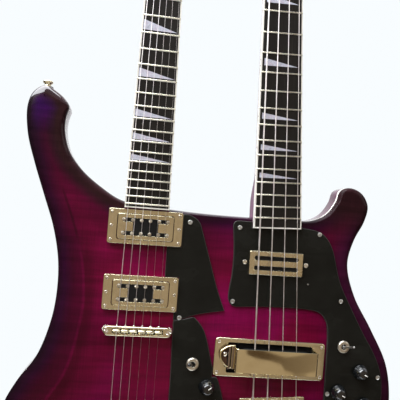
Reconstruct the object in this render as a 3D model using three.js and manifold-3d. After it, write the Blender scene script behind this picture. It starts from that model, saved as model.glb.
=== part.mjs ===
// A double-neck electric guitar: six strings on the viewer's left, a four-string bass neck on the right.
// Units are millimetres. +X is the viewer's right, +Y runs into the body from its front, +Z is up the necks.
// The origin lies on the flat back of the body, level with the guitar's saddles, and every front looks to -Y.
import * as THREE from "three";
import { mergeVertices } from "three/addons/utils/BufferGeometryUtils.js";
import Module from "manifold-3d";

const wasm = await Module();
wasm.setup();

// Clearances and counts
const seatGap = 0.3; // between pieces that touch
const overrun = 2; // how far a cut runs past what it cuts
const outlineSteps = 110;
const roundSteps = 12;
const wideRoundSteps = 16;
const smallRoundSteps = 8;
const boreShare = 1 / Math.cos(Math.PI / smallRoundSteps); // a bore's corners against its flats
const ballRings = 5;
const stringSides = 6;
const cornerSteps = 3;
const degree = Math.PI / 180;
const fullTurn = 2 * Math.PI;

// Body: back, carved top and side binding
const bodyDepth = 38;
const leftWing = 130.5; // body left of the guitar's heel
const rightWing = 144.6; // body right of the bass heel
const hornHeight = 145; // left horn above the joint of the necks
const tailLength = 213; // body below the guitar's saddles
const capThickness = 13;
const rollDepth = 8; // how far the top falls away at its edge
const rollWidth = 46; // where the fall is widest
const bindingDepth = 2;
const backRound = 4;
const cavityDepth = 29; // floor of the control and pickup cavities, below the top
const cavityMargin = 0.6; // round what sits in a cavity

// Fretboards and necks, common to both
const neckSpacing = 179.5; // between the two necks' middles, at their saddles
const jointMargin = 2; // heel's front above the joint
const heelMargin = 0.5; // heel narrower than the board, on each side
const fretPlaneHeight = 9; // fret tops above the body's top
const fretHeight = 1.1;
const fretWidth = 2.4;
const boardThickness = 6;
const nutThickness = 5;
const nutRise = 0.9; // nut above the fret tops
const nutAction = 0.5; // bottom of a string above the fret tops at the nut
const saddleAction = 3.4; // and at the saddles
const heelBack = 8; // back of the heel, from the body's back
const heelLift = 21; // straight part of the heel above the body's edge
const heelSweep = 38; // its curved run out to the neck

// Guitar neck
const guitar = {
  axisX: -90,
  axisZ: 0,
  turnAngle: 0, // degrees
  scale: 628.65,
  fretCount: 24,
  nutWidth: 41,
  endWidth: 56,
  boardOverhang: 5.2, // board past the last fret
  tenon: 52, // how far the heel reaches into the body
  neckDepth: 15.5,
  headAngle: 13,
  headLength: 176,
  headWidth: 76,
  headThickness: 14,
  stringCount: 6,
  thickString: 0.58, // radii
  thinString: 0.13,
  nutSpread: 34,
  saddleSpread: 51.5,
  anchorRise: 6.6, // ball ends above the body's top
  anchorReach: 107.5, // and below the saddles
  anchorRadius: 1.5,
  postShares: [0.273, 0.489, 0.705], // up the headstock
  postX: 24,
  postRadius: 3,
  postRise: 13,
  gearRadius: 6.2,
  wormRadius: 2.3,
  buttonWidth: 17,
  buttonLength: 16,
  buttonThickness: 6.5,
};

// Bass neck
const bass = {
  turnAngle: -2.46, // degrees
  scale: 863.6,
  fretCount: 22,
  nutWidth: 41.5,
  endWidth: 63.5,
  boardOverhang: 13.8,
  boardInset: 13.1, // board's end inside the joint of the necks
  tenon: 30,
  neckDepth: 17.5,
  headAngle: 13,
  headLength: 214,
  headWidth: 92,
  headThickness: 15,
  stringCount: 4,
  thickString: 1.33,
  thinString: 0.57,
  nutSpread: 30,
  saddleSpread: 57,
  anchorRise: 8.5,
  anchorReach: 49.5,
  anchorRadius: 1.9,
  postShares: [0.29, 0.607],
  postX: 27,
  postRadius: 5.5,
  postRise: 16,
  gearRadius: 10.5,
  wormRadius: 3.2,
  buttonWidth: 26,
  buttonLength: 24,
  buttonThickness: 9,
};

// The bass heel's flare on its left side, where the body runs up beside it
const flareWidth = 8; // at the joint
const flareHeight = 43; // above the joint
const flareDepth = 12; // its front, behind the board's back

// Shares of the necks and tuners
const heelDepthShare = 1.15; // neck's depth at the heel against its depth at the nut
const shaftDepthShare = 1.1; // and where the heel ends
const heelBlendShare = 0.75; // how far the heel's sweep reaches into the shaft
const fretCrownShare = 0.4; // fret's flat top against its foot
const collarShare = 1.6; // collar on a key against its shaft
const stringExitShare = 0.62; // where a string leaves its post, against the post's height

// Tuners, common to both
const plateThickness = 1.4;
const plateMargin = 4; // plate past its outermost gear
const earThickness = 3;
const earGap = 5; // half the worm's length between the ears
const earMargin = 1.5;
const gearThickness = 3.4;
const gearLift = 1.6;
const shaftShare = 0.62; // key shaft against the worm
const keyReach = 7; // shaft outside the headstock's edge
const keySeat = 1; // shaft inside its button
const postClearance = 0.5;

// Guitar pickups in their rings
const ringWidth = 93;
const ringHeight = 43;
const ringRise = 5.2;
const ringCorner = 3;
const ringGap = 2; // between the board's end and the neck ring
const coverWidth = 69.6;
const coverHeight = 31.4;
const coverGap = 0.8;
const coverRise = 7.4;
const coverCorner = 3;
const bridgeRingReach = 46.5; // bridge ring's middle above the saddles
const slotHeight = 4.6;
const slotOffset = 7.2;
const slotReach = 17.5; // half the slots' length
const windowReach = 9.5;
const slotDepth = 1.6;
const basePlateReach = 40.5;
const basePlateThickness = 1.6;
const basePlateDepth = 14; // below the body's top
const basePlateShare = 0.5; // base plate's height against the cover's
const heightScrewRadius = 1.3;
const heightScrewX = 38.4;

// Bass neck pickup, carried by the pickguard
const bassPickup = { boardGap: 45.5, width: 72, height: 30.5, corner: 4, rise: 6.4 };
const bassSlotReach = 27;
const bassSlotHeight = 4.2;
const bassSlotOffset = 6;
const bassScrewX = 41;

// Bass bridge pickup: surround, raised cover with its boss, and coil block
const surroundSize = { width: 147, height: 48.5, corner: 3.5, rise: 3, lift: 59.5, shift: 7 };
const mouthMargin = { left: 17, right: 18, top: 3.8, bottom: 5.2 };
const coverMargin = { left: 25, right: 14, top: 9.8, bottom: 8.8 };
const raisedRise = 9; // cover's front above the fret tops
const raisedWall = 1.6;
const cheekThickness = 3;
const bossPlace = { reach: 18.6, lift: 4, radius: 13, rise: 6 };
const coilMargin = { left: 11, right: 9, top: 2.5, bottom: 2.5 }; // inside the raised cover
const coilRecess = 1; // coil block's front below the fret tops

// Bridges and tailpiece
const bridgeReach = 42;
const bridgeHalfWidth = 6;
const bridgeThickness = 6;
const saddleRise = 1; // saddles' tops above the bridge bar
const saddleWidth = 7.6;
const saddleLength = 6;
const saddlePeak = 1.2; // flat on top of a saddle
const bridgePostX = 38;
const bridgePostRadius = 3;
const bridgePostDepth = 18; // into the body
const thumbwheelRadius = 5.4;
const thumbwheelThickness = 2.2;
const barReach = 33;
const barAbove = 7.5; // tailpiece bar round its anchors
const barBelow = 3;
const barRise = 3.4;
const barSink = 3.6;
const channelDepth = 6;
const legRadius = 2;
const legTopX = 25;
const legBottomX = 9;
const bracketReach = 16;
const bracketThickness = 2;
const bracketHeight = 25; // on the top
const bracketInset = 2.4; // of its seat, above the lowest point of the body
const bracketFoot = 10; // lower end of the bracket, from the body's back
const bassPlate = { reach: 43, top: 11, thickness: 2.4, anchorMargin: 3.5 };
const bassWall = { rise: 5.5, thickness: 9, channel: 5.5 };
const bassSaddle = { width: 14.4, length: 12, screwRadius: 1.2, screwRise: 4.6 };

// Controls
const knobRadius = 10;
const knobTopRadius = 8.6;
const knobHeight = 12.5;
const knobClearance = 1.4; // under the knob
const knobSkirt = 2;
const knobShaftRadius = 3;
const potRadius = 11.5;
const potDepth = 9;
const potMargin = 1.25; // between a pot and the bass surround
const potNutRadius = 5.6;
const potNutHeight = 1;
const switchNutRadius = 6.6;
const switchNutHeight = 3.6;
const switchBallRadius = 2.8;
const switchBodyDepth = 22;
const switchBodyWidth = 11;
const leverRadius = 1.3;
const leverTipRadius = 1.9;
const leverLength = 20;
const guitarLean = { leanAngle: 24, towardsAngle: 147 }; // degrees from the front, and round from +X
const bassLean = { leanAngle: 20, towardsAngle: 42 };

// Pickguards
const guardThickness = 2.4;
const guardSeam = 16; // between the guitar's two guards, above the saddles
const guardGap = 4; // between the upper guard and the bass guard
const jointRoom = 3; // guitar guard below the joint
const bassJointRoom = 6;
const upperGuardX = 28; // left edge, from the guitar's middle
const lowerGuardX = 44;
const lowerGuardGap = 18.5; // between the lower guard and the bass bridge
const lowerGuardTail = 59; // lower guard's end above the lowest point of the body
const bassGuardX = 67.5; // left edge, from the bass's middle
const bassGuardTail = 63;
const bassGuardRim = 16; // between the bass guard and the body's right side

// Jack plate and strap buttons
const jack = { x: 60, y: -14, seatDepth: 3.5, width: 60, height: 20, thickness: 2 };
const jackSpacing = 27;
const socketBore = 3.3;
const socketWall = 2.2;
const socketLength = 26;
const socketNutRadius = 6.6;
const socketNutHeight = 2.6;
const socketRoom = 1; // round a socket, in front and behind
const strapHead = 6.4;
const strapNeck = 3.8;
const strapBase = 5.6;
const strapHeight = 9;
const strapHeadHeight = 3.2;
const strapBaseHeight = 1.4;
const strapNeckStart = 2;
const strapEdge = 0.7; // where its head begins to round over
const strapTop = 5.1; // radius of the head's flat front
const strapY = -17;
const tailStrapX = 8;

// Levels worked out from those sizes
const topFace = -bodyDepth;
const capBack = topFace + capThickness;
const rimFace = topFace + rollDepth;
const fretPlane = topFace - fretPlaneHeight;
const boardFace = fretPlane + fretHeight;
const boardBack = boardFace + boardThickness;
const neckFace = boardBack + seatGap;
const guardBack = topFace - seatGap;
const guardFace = guardBack - guardThickness;
const cavityFloor = topFace + cavityDepth;
const nutFloor = fretPlane - nutAction;
const saddleTop = fretPlane - saddleAction;

// Places worked out from those sizes: the joint of the necks is where the guitar's board ends
guitar.boardEnd = fretZ(guitar, guitar.fretCount) - guitar.boardOverhang;
bass.boardEnd = fretZ(bass, bass.fretCount) - bass.boardOverhang;
const jointZ = guitar.axisZ + guitar.boardEnd;
bass.axisX = guitar.axisX + neckSpacing;
bass.axisZ = jointZ - bass.boardInset - bass.boardEnd * Math.cos(bass.turnAngle * degree);
guitar.bodyEdge = bodyEdgeOn(guitar);
bass.bodyEdge = bodyEdgeOn(bass);
guitar.heelHalf = boardHalfWidth(guitar, guitar.boardEnd) - heelMargin;
bass.heelHalf = boardHalfWidth(bass, bass.boardEnd) - heelMargin;
const heelLeft = guitar.axisX - guitar.heelHalf;
const heelRight = axisXAt(bass, jointZ) + bass.heelHalf;
const bodyRight = heelRight + rightWing;
const bodyBottom = guitar.axisZ - tailLength;
const bodyTopZ = jointZ + hornHeight;
const bodySeat = bodyBottom + bracketInset;
const jackSeat = bodyBottom + jack.seatDepth;

const neckRingZ = jointZ - ringGap - ringHeight / 2;
const bridgeRingZ = guitar.axisZ + bridgeRingReach;
const bassPickupZ = bass.axisZ + bass.boardEnd * Math.cos(bass.turnAngle * degree) - bassPickup.boardGap;
const bassPickupX = axisXAt(bass, bassPickupZ);

const surroundX = bass.axisX - surroundSize.shift;
const surroundZ = bass.axisZ + surroundSize.lift;
const surround = boxAround(surroundX, surroundZ, surroundSize.width, surroundSize.height);
const surroundMouth = inside(surround, mouthMargin);
const raisedBox = inside(surround, coverMargin);
const coilBox = inside(raisedBox, coilMargin);
const boss = { x: surround.left + bossPlace.reach, z: surroundZ + bossPlace.lift };

const bassGuard = {
  left: bass.axisX - bassGuardX,
  right: bodyRight - bassGuardRim,
  bottom: bodyBottom + bassGuardTail,
  top: jointZ - bassJointRoom,
};
const guitarUpperGuard = {
  left: guitar.axisX + upperGuardX,
  right: bassGuard.left - guardGap,
  bottom: guitar.axisZ + guardSeam,
  top: jointZ - jointRoom,
};
const guitarLowerGuard = {
  left: guitar.axisX + lowerGuardX,
  right: bass.axisX - bassPlate.reach - lowerGuardGap,
  bottom: bodyBottom + lowerGuardTail,
  top: guitar.axisZ + guardSeam,
};

// Controls: the guitar's knobs lie under the bass surround, and the bass's in the strip right of it.
// Each share runs across the free space there, or down from the first place named to the guard's end.
const guitarKnobShares = [[0.649, 0.0], [0.757, 0.517]];
const guitarSwitchShares = [0.526, 0.37];
const bassKnobShares = [[0.602, 0.1], [0.253, 0.325], [0.699, 0.458], [0.349, 0.675]];
const bassSwitchShares = [0.301, -0.167];

const firstPotZ = surround.bottom - potRadius - potMargin;
const bridgeEnd = guitar.axisX + bridgeReach;
const guitarKnobs = guitarKnobShares.map(([across, down]) => ({
  x: between(guitarLowerGuard.left, guitarLowerGuard.right, across),
  z: between(firstPotZ, guitarLowerGuard.bottom, down),
}));
const guitarSwitch = {
  x: between(bridgeEnd, surround.left, guitarSwitchShares[0]),
  z: between(surroundZ, surround.bottom, guitarSwitchShares[1]),
  ...guitarLean,
};
const inBassStrip = ([across, down]) => ({
  x: between(surround.right, bassGuard.right, across),
  z: between(surroundZ, bassGuard.bottom, down),
});
const bassKnobs = bassKnobShares.map(inBassStrip);
const bassSwitch = { ...inBassStrip(bassSwitchShares), ...bassLean };

// The body's outline, anticlockwise from the tip of the left horn.
// Each entry is a share of the width, a share of the height and a share of the roll's width there.
// The first two are stretched piece by piece, so that the necks' heels keep to the joint between them.
const heelLeftShare = 0.2594;
const heelRightShare = 0.7125;
const jointShare = 0.716;
const hornTipShare = 0.042;
const bodyOutlineShares = [
  [0.042, 1.0, 0.3], [0.014, 0.982, 0.43], [0.002, 0.947, 0.52], [0.008, 0.88, 0.54],
  [0.03, 0.81, 0.54], [0.06, 0.731, 0.54], [0.089, 0.653, 0.57], [0.107, 0.571, 0.65],
  [0.109, 0.486, 0.74], [0.099, 0.418, 0.78], [0.074, 0.343, 0.87], [0.034, 0.284, 0.93],
  [0.006, 0.225, 1.0], [0.002, 0.167, 0.96], [0.03, 0.1, 0.78], [0.099, 0.047, 0.61],
  [0.215, 0.018, 0.43], [0.374, 0.004, 0.3], [0.543, 0.0, 0.26], [0.712, 0.01, 0.26],
  [0.851, 0.045, 0.26], [0.95, 0.11, 0.26], [0.994, 0.192, 0.26], [1.0, 0.271, 0.26],
  [0.984, 0.355, 0.26], [0.936, 0.443, 0.26], [0.883, 0.529, 0.26], [0.859, 0.61, 0.26],
  [0.873, 0.673, 0.26], [0.899, 0.725, 0.26], [0.907, 0.767, 0.26], [0.887, 0.8, 0.22],
  [0.853, 0.812, 0.17], [0.827, 0.802, 0.11], [0.817, 0.773, 0.09], [0.791, 0.737, 0.09],
  [0.748, 0.717, 0.09], [0.682, 0.716, 0.09], [0.553, 0.714, 0.09], [0.433, 0.716, 0.09],
  [0.314, 0.724, 0.09], [0.25, 0.733, 0.11], [0.195, 0.763, 0.17], [0.145, 0.802, 0.22],
  [0.111, 0.847, 0.22], [0.097, 0.898, 0.17], [0.099, 0.931, 0.11], [0.104, 0.951, 0.07],
  [0.091, 0.971, 0.17], [0.068, 0.988, 0.26],
];

// Pickguard outlines, as shares of each guard's own width and height
const guitarUpperShares = [
  [0.237, 1.0], [0.4, 0.985], [0.512, 0.932], [0.562, 0.842], [0.713, 0.579], [0.838, 0.346],
  [0.963, 0.158], [1.0, 0.098], [0.688, 0.068], [0.463, 0.038], [0.3, 0.0], [0.0, 0.0], [0.0, 1.0],
];
const guitarLowerShares = [
  [0.0, 0.976], [0.216, 1.0], [0.419, 1.0], [0.554, 0.929], [0.703, 0.7], [0.865, 0.541],
  [0.959, 0.418], [1.0, 0.271], [0.919, 0.112], [0.676, 0.012], [0.351, 0.0], [0.108, 0.071],
  [0.027, 0.229], [0.027, 0.406], [0.014, 0.782],
];
const bassGuardShares = [
  [0.0, 0.983], [0.014, 0.997], [0.074, 1.0], [0.47, 0.98], [0.525, 0.98], [0.571, 0.959],
  [0.599, 0.943], [0.636, 0.899], [0.664, 0.811], [0.691, 0.747], [0.742, 0.679], [0.783, 0.628],
  [0.848, 0.541], [0.922, 0.463], [0.968, 0.399], [1.0, 0.307], [1.0, 0.243], [0.982, 0.142],
  [0.922, 0.051], [0.82, 0.0], [0.719, 0.007], [0.65, 0.068], [0.631, 0.152], [0.631, 0.324],
  [0.627, 0.5], [0.631, 0.534], [0.618, 0.564], [0.594, 0.605], [0.548, 0.622], [0.498, 0.628],
  [0.382, 0.635], [0.074, 0.625], [0.028, 0.625], [0.0, 0.652], [0.0, 0.696], [0.014, 0.76],
  [0.014, 0.872],
];

// Half a headstock, from the nut to its tip: shares of half its width and of its length
const headShares = [
  [0.54, 0.0], [0.6, 0.06], [0.88, 0.17], [1.0, 0.27], [0.97, 0.42], [0.9, 0.62],
  [0.9, 0.8], [0.98, 0.92], [0.84, 0.985], [0.5, 0.95], [0.2, 0.97], [0.0, 1.0],
];

// Rings of the top's rolled edge: shares of its rise and of its width
const rollShares = [[0.45, 0.08], [0.78, 0.32], [0.95, 0.66]];
const roundShare = 0.3; // middle ring of the back's rounded edge

// Colour, roughness and metalness of each finish
const finishes = {
  stain: [0x7a1248, 0.25, 0],
  backStain: [0x6b2a44, 0.35, 0],
  binding: [0xe8e6df, 0.4, 0],
  neckWood: [0x7b2f4a, 0.35, 0],
  ebony: [0x26241f, 0.55, 0],
  nut: [0xe9e4d4, 0.45, 0],
  chrome: [0xb9a88a, 0.2, 1],
  black: [0x1b1c1a, 0.3, 0],
  steel: [0xb8b8b4, 0.35, 1],
};

const model = new THREE.Group();

// Adds one named piece to the model or to a group inside it.
function addPiece(name, geometry, finish, parent = model) {
  const [color, roughness, metalness] = finishes[finish];
  const material = new THREE.MeshStandardMaterial({ color, roughness, metalness });
  const mesh = new THREE.Mesh(geometry, material);
  mesh.name = name;
  parent.add(mesh);
  return mesh;
}

// A place on the way from one value to another.
function between(from, to, share) {
  return from + (to - from) * share;
}

function boxAround(x, z, width, height) {
  return { left: x - width / 2, right: x + width / 2, bottom: z - height / 2, top: z + height / 2 };
}

function inside(box, margin) {
  return {
    left: box.left + margin.left,
    right: box.right - margin.right,
    bottom: box.bottom + margin.bottom,
    top: box.top - margin.top,
  };
}

// Turns a closed geometry into a solid that can be joined and cut.
function solidOf(geometry) {
  const bare = geometry.index ? geometry.clone() : geometry;
  for (const name of Object.keys(bare.attributes)) if (name !== "position") bare.deleteAttribute(name);
  const merged = mergeVertices(bare);
  const mesh = new wasm.Mesh({
    numProp: 3,
    vertProperties: new Float32Array(merged.attributes.position.array),
    triVerts: new Uint32Array(merged.index.array),
  });
  return new wasm.Manifold(mesh);
}

// Turns a solid back into a geometry with flat normals.
function geometryOf(solid) {
  const { vertProperties, triVerts } = solid.getMesh();
  const geometry = new THREE.BufferGeometry();
  geometry.setAttribute("position", new THREE.BufferAttribute(vertProperties, 3));
  geometry.setIndex(new THREE.BufferAttribute(triVerts, 1));
  geometry.computeVertexNormals();
  return geometry;
}

function join(...geometries) {
  return geometryOf(geometries.map(solidOf).reduce((whole, part) => whole.add(part)));
}

function cut(geometry, ...tools) {
  return geometryOf(tools.map(solidOf).reduce((whole, tool) => whole.subtract(tool), solidOf(geometry)));
}

// The largest of the separate solids that a cut leaves.
function largestPart(geometry) {
  const parts = solidOf(geometry).decompose();
  return geometryOf(parts.reduce((best, part) => (part.volume() > best.volume() ? part : best)));
}

// A closed skin through rings of equally many points, the first and last ring closed by flat caps.
// The caps are triangulated in the two axes named, such as "xz".
function loft(rings, capAxes) {
  const count = rings[0].length;
  const positions = rings.flat().flatMap((point) => point.toArray());
  const index = [];
  for (let ring = 0; ring < rings.length - 1; ring += 1) {
    for (let step = 0; step < count; step += 1) {
      const next = (step + 1) % count;
      const [a, b] = [ring * count + step, ring * count + next];
      const [c, d] = [a + count, b + count];
      index.push(a, b, d, a, d, c);
    }
  }
  const last = (rings.length - 1) * count;
  const capOf = (ring) => {
    const flat = ring.map((point) => new THREE.Vector2(point[capAxes[0]], point[capAxes[1]]));
    return THREE.ShapeUtils.triangulateShape(flat, []);
  };
  const turned = THREE.ShapeUtils.isClockWise(
    rings[0].map((point) => new THREE.Vector2(point[capAxes[0]], point[capAxes[1]])),
  );
  for (const [a, b, c] of capOf(rings[0])) index.push(...(turned ? [a, b, c] : [a, c, b]));
  for (const [a, b, c] of capOf(rings.at(-1))) {
    index.push(...(turned ? [a, c, b] : [a, b, c]).map((n) => n + last));
  }
  const geometry = new THREE.BufferGeometry();
  geometry.setAttribute("position", new THREE.Float32BufferAttribute(positions, 3));
  geometry.setIndex(index);
  return facingOut(geometry);
}

// Turns a closed geometry's triangles round when its volume comes out negative.
function facingOut(geometry) {
  const { position } = geometry.attributes;
  const index = Array.from(geometry.index.array);
  const corners = [new THREE.Vector3(), new THREE.Vector3(), new THREE.Vector3()];
  let volume = 0;
  for (let at = 0; at < index.length; at += 3) {
    corners.forEach((corner, n) => corner.fromBufferAttribute(position, index[at + n]));
    volume += corners[0].dot(corners[1].cross(corners[2]));
  }
  if (volume < 0) index.reverse();
  geometry.setIndex(index);
  geometry.computeVertexNormals();
  return geometry;
}

// A box between two limits on each axis.
function block(left, right, front, back, bottom, top) {
  const geometry = new THREE.BoxGeometry(right - left, back - front, top - bottom);
  return geometry.translate((left + right) / 2, (front + back) / 2, (bottom + top) / 2);
}

// A plate with an outline in X and Z, from its back face forward to its front face.
function plate(outline, front, back, holes = []) {
  const shape = new THREE.Shape(outline);
  shape.holes = holes.map((hole) => new THREE.Path(hole));
  const geometry = new THREE.ExtrudeGeometry(shape, { depth: back - front, bevelEnabled: false });
  return geometry.rotateX(Math.PI / 2).translate(0, back, 0);
}

// A plate seen from the side: an outline in Z and Y, from its left face to its right face.
function sidePlate(outline, left, right) {
  const depth = right - left;
  const geometry = new THREE.ExtrudeGeometry(new THREE.Shape(outline), { depth, bevelEnabled: false });
  return geometry.rotateY(-Math.PI / 2).translate(right, 0, 0);
}

// A round rod between two points; a second radius makes it taper.
function rod(from, to, radius, steps = roundSteps, endRadius = radius) {
  const along = to.clone().sub(from);
  const geometry = new THREE.CylinderGeometry(endRadius, radius, along.length(), steps);
  const upright = new THREE.Vector3(0, 1, 0);
  const turn = new THREE.Quaternion().setFromUnitVectors(upright, along.clone().normalize());
  const middle = from.clone().add(to).multiplyScalar(1 / 2);
  return geometry.applyQuaternion(turn).translate(middle.x, middle.y, middle.z);
}

// A rod along Y at one place of the front, between two levels.
function pin(x, z, front, back, radius, steps = roundSteps, frontRadius = radius) {
  return rod(new THREE.Vector3(x, back, z), new THREE.Vector3(x, front, z), radius, steps, frontRadius);
}

// A rectangle with rounded corners, as outline points.
function roundedRectangle(x, z, width, height, corner) {
  const points = [];
  const centres = [[1, 1], [-1, 1], [-1, -1], [1, -1]];
  centres.forEach(([sideX, sideZ], quarter) => {
    for (let step = 0; step <= cornerSteps; step += 1) {
      const angle = (quarter + step / cornerSteps) * (Math.PI / 2);
      const centreX = x + sideX * (width / 2 - corner);
      const centreZ = z + sideZ * (height / 2 - corner);
      points.push(new THREE.Vector2(centreX + corner * Math.cos(angle), centreZ + corner * Math.sin(angle)));
    }
  });
  return points;
}

// A slot with half-round ends along X, as outline points.
function stadium(x, z, reach, halfHeight) {
  const points = [];
  for (const side of [1, -1]) {
    for (let step = 0; step <= roundSteps / 2; step += 1) {
      const angle = ((side > 0 ? -1 : 1) * Math.PI) / 2 + (step / (roundSteps / 2)) * Math.PI;
      const centreX = x + side * (reach - halfHeight);
      const [across, up] = [halfHeight * Math.cos(angle), halfHeight * Math.sin(angle)];
      points.push(new THREE.Vector2(centreX + across, z + up));
    }
  }
  return points;
}

// Outline points from shares of a frame's width and height.
function outlineIn(frame, shares) {
  return shares.map(([x, z]) =>
    new THREE.Vector2(between(frame.left, frame.right, x), between(frame.bottom, frame.top, z)));
}

function outlineX(share) {
  if (share < heelLeftShare) return heelLeft - (1 - share / heelLeftShare) * leftWing;
  const pastRight = (share - heelRightShare) / (1 - heelRightShare);
  if (pastRight > 0) return heelRight + pastRight * rightWing;
  return between(heelLeft, heelRight, (share - heelLeftShare) / (heelRightShare - heelLeftShare));
}

function outlineZ(share) {
  if (share < jointShare) return between(bodyBottom, jointZ, share / jointShare);
  return jointZ + ((share - jointShare) / (1 - jointShare)) * hornHeight;
}

// The closed curve through the body's outline, each point with its inward normal and the roll's width.
function bodyEdge() {
  const controls = bodyOutlineShares.map(
    ([x, z, roll]) => new THREE.Vector3(outlineX(x), outlineZ(z), roll * rollWidth),
  );
  const curve = new THREE.CatmullRomCurve3(controls, true, "centripetal");
  const points = curve.getSpacedPoints(outlineSteps).slice(0, outlineSteps);
  return points.map((point, n) => {
    const before = points[(n + outlineSteps - 1) % outlineSteps];
    const after = points[(n + 1) % outlineSteps];
    const along = new THREE.Vector2(after.x - before.x, after.y - before.y).normalize();
    return { x: point.x, z: point.y, roll: point.z, inward: new THREE.Vector2(-along.y, along.x) };
  });
}

const edge = bodyEdge();

// One ring of the body, moved inward by a fixed inset and by a share of the roll.
// Between the necks the inset can be left out, where the cap fills the binding's place.
function bodyRing(y, inset, rollShare = 0, insetBetweenNecks = inset) {
  return edge.map(({ x, z, roll, inward }) => {
    const betweenNecks = z > guitar.axisZ && x > guitar.axisX && x < bass.axisX;
    const move = (betweenNecks ? insetBetweenNecks : inset) + roll * rollShare;
    return new THREE.Vector3(x + inward.x * move, y, z + inward.y * move);
  });
}

// The two neck frames: Z runs up a neck from its saddles, and a headstock leans back in its own frame.
function neckFrames(neck) {
  const frame = new THREE.Group();
  frame.position.set(neck.axisX, 0, neck.axisZ);
  frame.rotation.y = neck.turnAngle * degree;
  model.add(frame);
  const head = new THREE.Group();
  head.position.set(0, neckFace, neck.scale + nutThickness);
  head.rotation.x = -neck.headAngle * degree;
  frame.add(head);
  frame.updateMatrixWorld(true);
  return { frame, head };
}

const frames = { guitar: neckFrames(guitar), bass: neckFrames(bass) };

// A piece made in a neck's frame, moved to the model's frame to cut what belongs to the body.
function fromNeck(kind, geometry) {
  return geometry.clone().applyMatrix4(frames[kind].frame.matrixWorld);
}

// Neck and board

function boardHalfWidth(neck, z) {
  const share = (neck.scale - z) / (neck.scale - neck.boardEnd);
  return (neck.nutWidth + (neck.endWidth - neck.nutWidth) * share) / 2;
}

function fretZ(neck, number) {
  return neck.scale * 2 ** (-number / 12);
}

// Where the body's edge crosses a neck's middle, up that neck.
function bodyEdgeOn(neck) {
  return (jointZ + jointMargin - neck.axisZ) / Math.cos(neck.turnAngle * degree);
}

// The middle of a neck at one height of the model.
function axisXAt(neck, z) {
  return neck.axisX + (z - neck.axisZ) * Math.tan(neck.turnAngle * degree);
}

function fretboard(neck) {
  const corners = [[-1, neck.boardEnd], [1, neck.boardEnd], [1, neck.scale], [-1, neck.scale]];
  const outline = corners.map(([side, z]) => new THREE.Vector2(side * boardHalfWidth(neck, z), z));
  const frets = [];
  for (let number = 1; number <= neck.fretCount; number += 1) {
    const z = fretZ(neck, number);
    const reach = boardHalfWidth(neck, z) - seatGap;
    const fretFoot = boardFace + seatGap;
    const profileShares = [[-1, 1], [-fretCrownShare, 0], [fretCrownShare, 0], [1, 1]];
    const profile = profileShares.map(
      ([across, down]) => new THREE.Vector2(z + (across * fretWidth) / 2, between(fretPlane, fretFoot, down)),
    );
    frets.push(sidePlate(profile, -reach, reach));
  }
  return join(plate(outline, boardFace, boardBack), ...frets);
}

// A ring of the neck: flat under the board and a half ellipse behind it.
function neckRing(neck, z, depth, halfWidth) {
  const ring = [];
  for (let step = 0; step <= roundSteps; step += 1) {
    const angle = (step / roundSteps) * Math.PI;
    ring.push(new THREE.Vector3(halfWidth * Math.cos(angle), neckFace + depth * Math.sin(angle), z));
  }
  return ring;
}

function heelOutline(neck) {
  const back = -heelBack;
  const blendBack = neckFace + neck.neckDepth * heelBlendShare;
  const sweepStart = neck.bodyEdge + heelLift;
  const points = [
    [neck.boardEnd + seatGap, neckFace],
    [neck.boardEnd + seatGap, capBack - seatGap],
    [neck.bodyEdge - neck.tenon, capBack - seatGap],
    [neck.bodyEdge - neck.tenon, back],
  ];
  for (let step = 0; step <= cornerSteps + 1; step += 1) {
    const share = step / (cornerSteps + 1);
    const fall = Math.sin((share * Math.PI) / 2) ** 2;
    points.push([sweepStart + share * heelSweep, between(back, blendBack, fall)]);
  }
  points.push([sweepStart + heelSweep, neckFace]);
  return points.map(([z, y]) => new THREE.Vector2(z, y));
}

function headOutline(neck) {
  const right = headShares.map(([x, z]) => new THREE.Vector2((x * neck.headWidth) / 2, z * neck.headLength));
  const left = right.slice(0, -1).reverse().map((point) => new THREE.Vector2(-point.x, point.y));
  return [...right, ...left];
}

// The bore round a neck's posts, in the headstock and in the plates.
function postBore(neck) {
  return (neck.postRadius + postClearance) * boreShare;
}

function neckPiece(kind, neck) {
  const shaftStart = neck.bodyEdge + heelLift;
  const topEnd = neck.scale + nutThickness;
  const shaft = loft([
    neckRing(neck, shaftStart, neck.neckDepth * heelDepthShare, boardHalfWidth(neck, shaftStart)),
    neckRing(neck, shaftStart + heelSweep, neck.neckDepth * shaftDepthShare,
      boardHalfWidth(neck, shaftStart + heelSweep)),
    neckRing(neck, neck.scale, neck.neckDepth, boardHalfWidth(neck, neck.scale)),
    neckRing(neck, topEnd + overrun, neck.neckDepth, boardHalfWidth(neck, neck.scale)),
  ], "xy");
  const heel = sidePlate(heelOutline(neck), -neck.heelHalf, neck.heelHalf);
  const holes = postPlaces(neck).map(({ x, z }) =>
    pin(x, z, -overrun, neck.headThickness + overrun, postBore(neck), smallRoundSteps));
  const head = cut(plate(headOutline(neck), 0, neck.headThickness), ...holes);
  const parts = [shaft, heel, head.applyMatrix4(frames[kind].head.matrix)];
  if (kind === "bass") parts.push(heelFlare(neck));
  return join(...parts);
}

// The wedge that widens the bass heel on its left side and dies out up the neck.
function heelFlare(neck) {
  const [bottom, top] = [neck.bodyEdge + overrun, neck.bodyEdge + flareHeight];
  const hollowShares = [[0, 1], [0.3, 0.62], [0.6, 0.3], [1, 0]];
  const side = hollowShares.map(([up, out]) =>
    new THREE.Vector2(-neck.heelHalf - out * flareWidth, between(bottom, top, up)));
  const root = [top, bottom].map((z) => new THREE.Vector2(-neck.heelHalf + overrun, z));
  return plate([...side, ...root], neckFace + flareDepth, -heelBack - overrun);
}

function postHeights(neck) {
  return neck.postShares.map((share) => share * neck.headLength);
}

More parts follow.
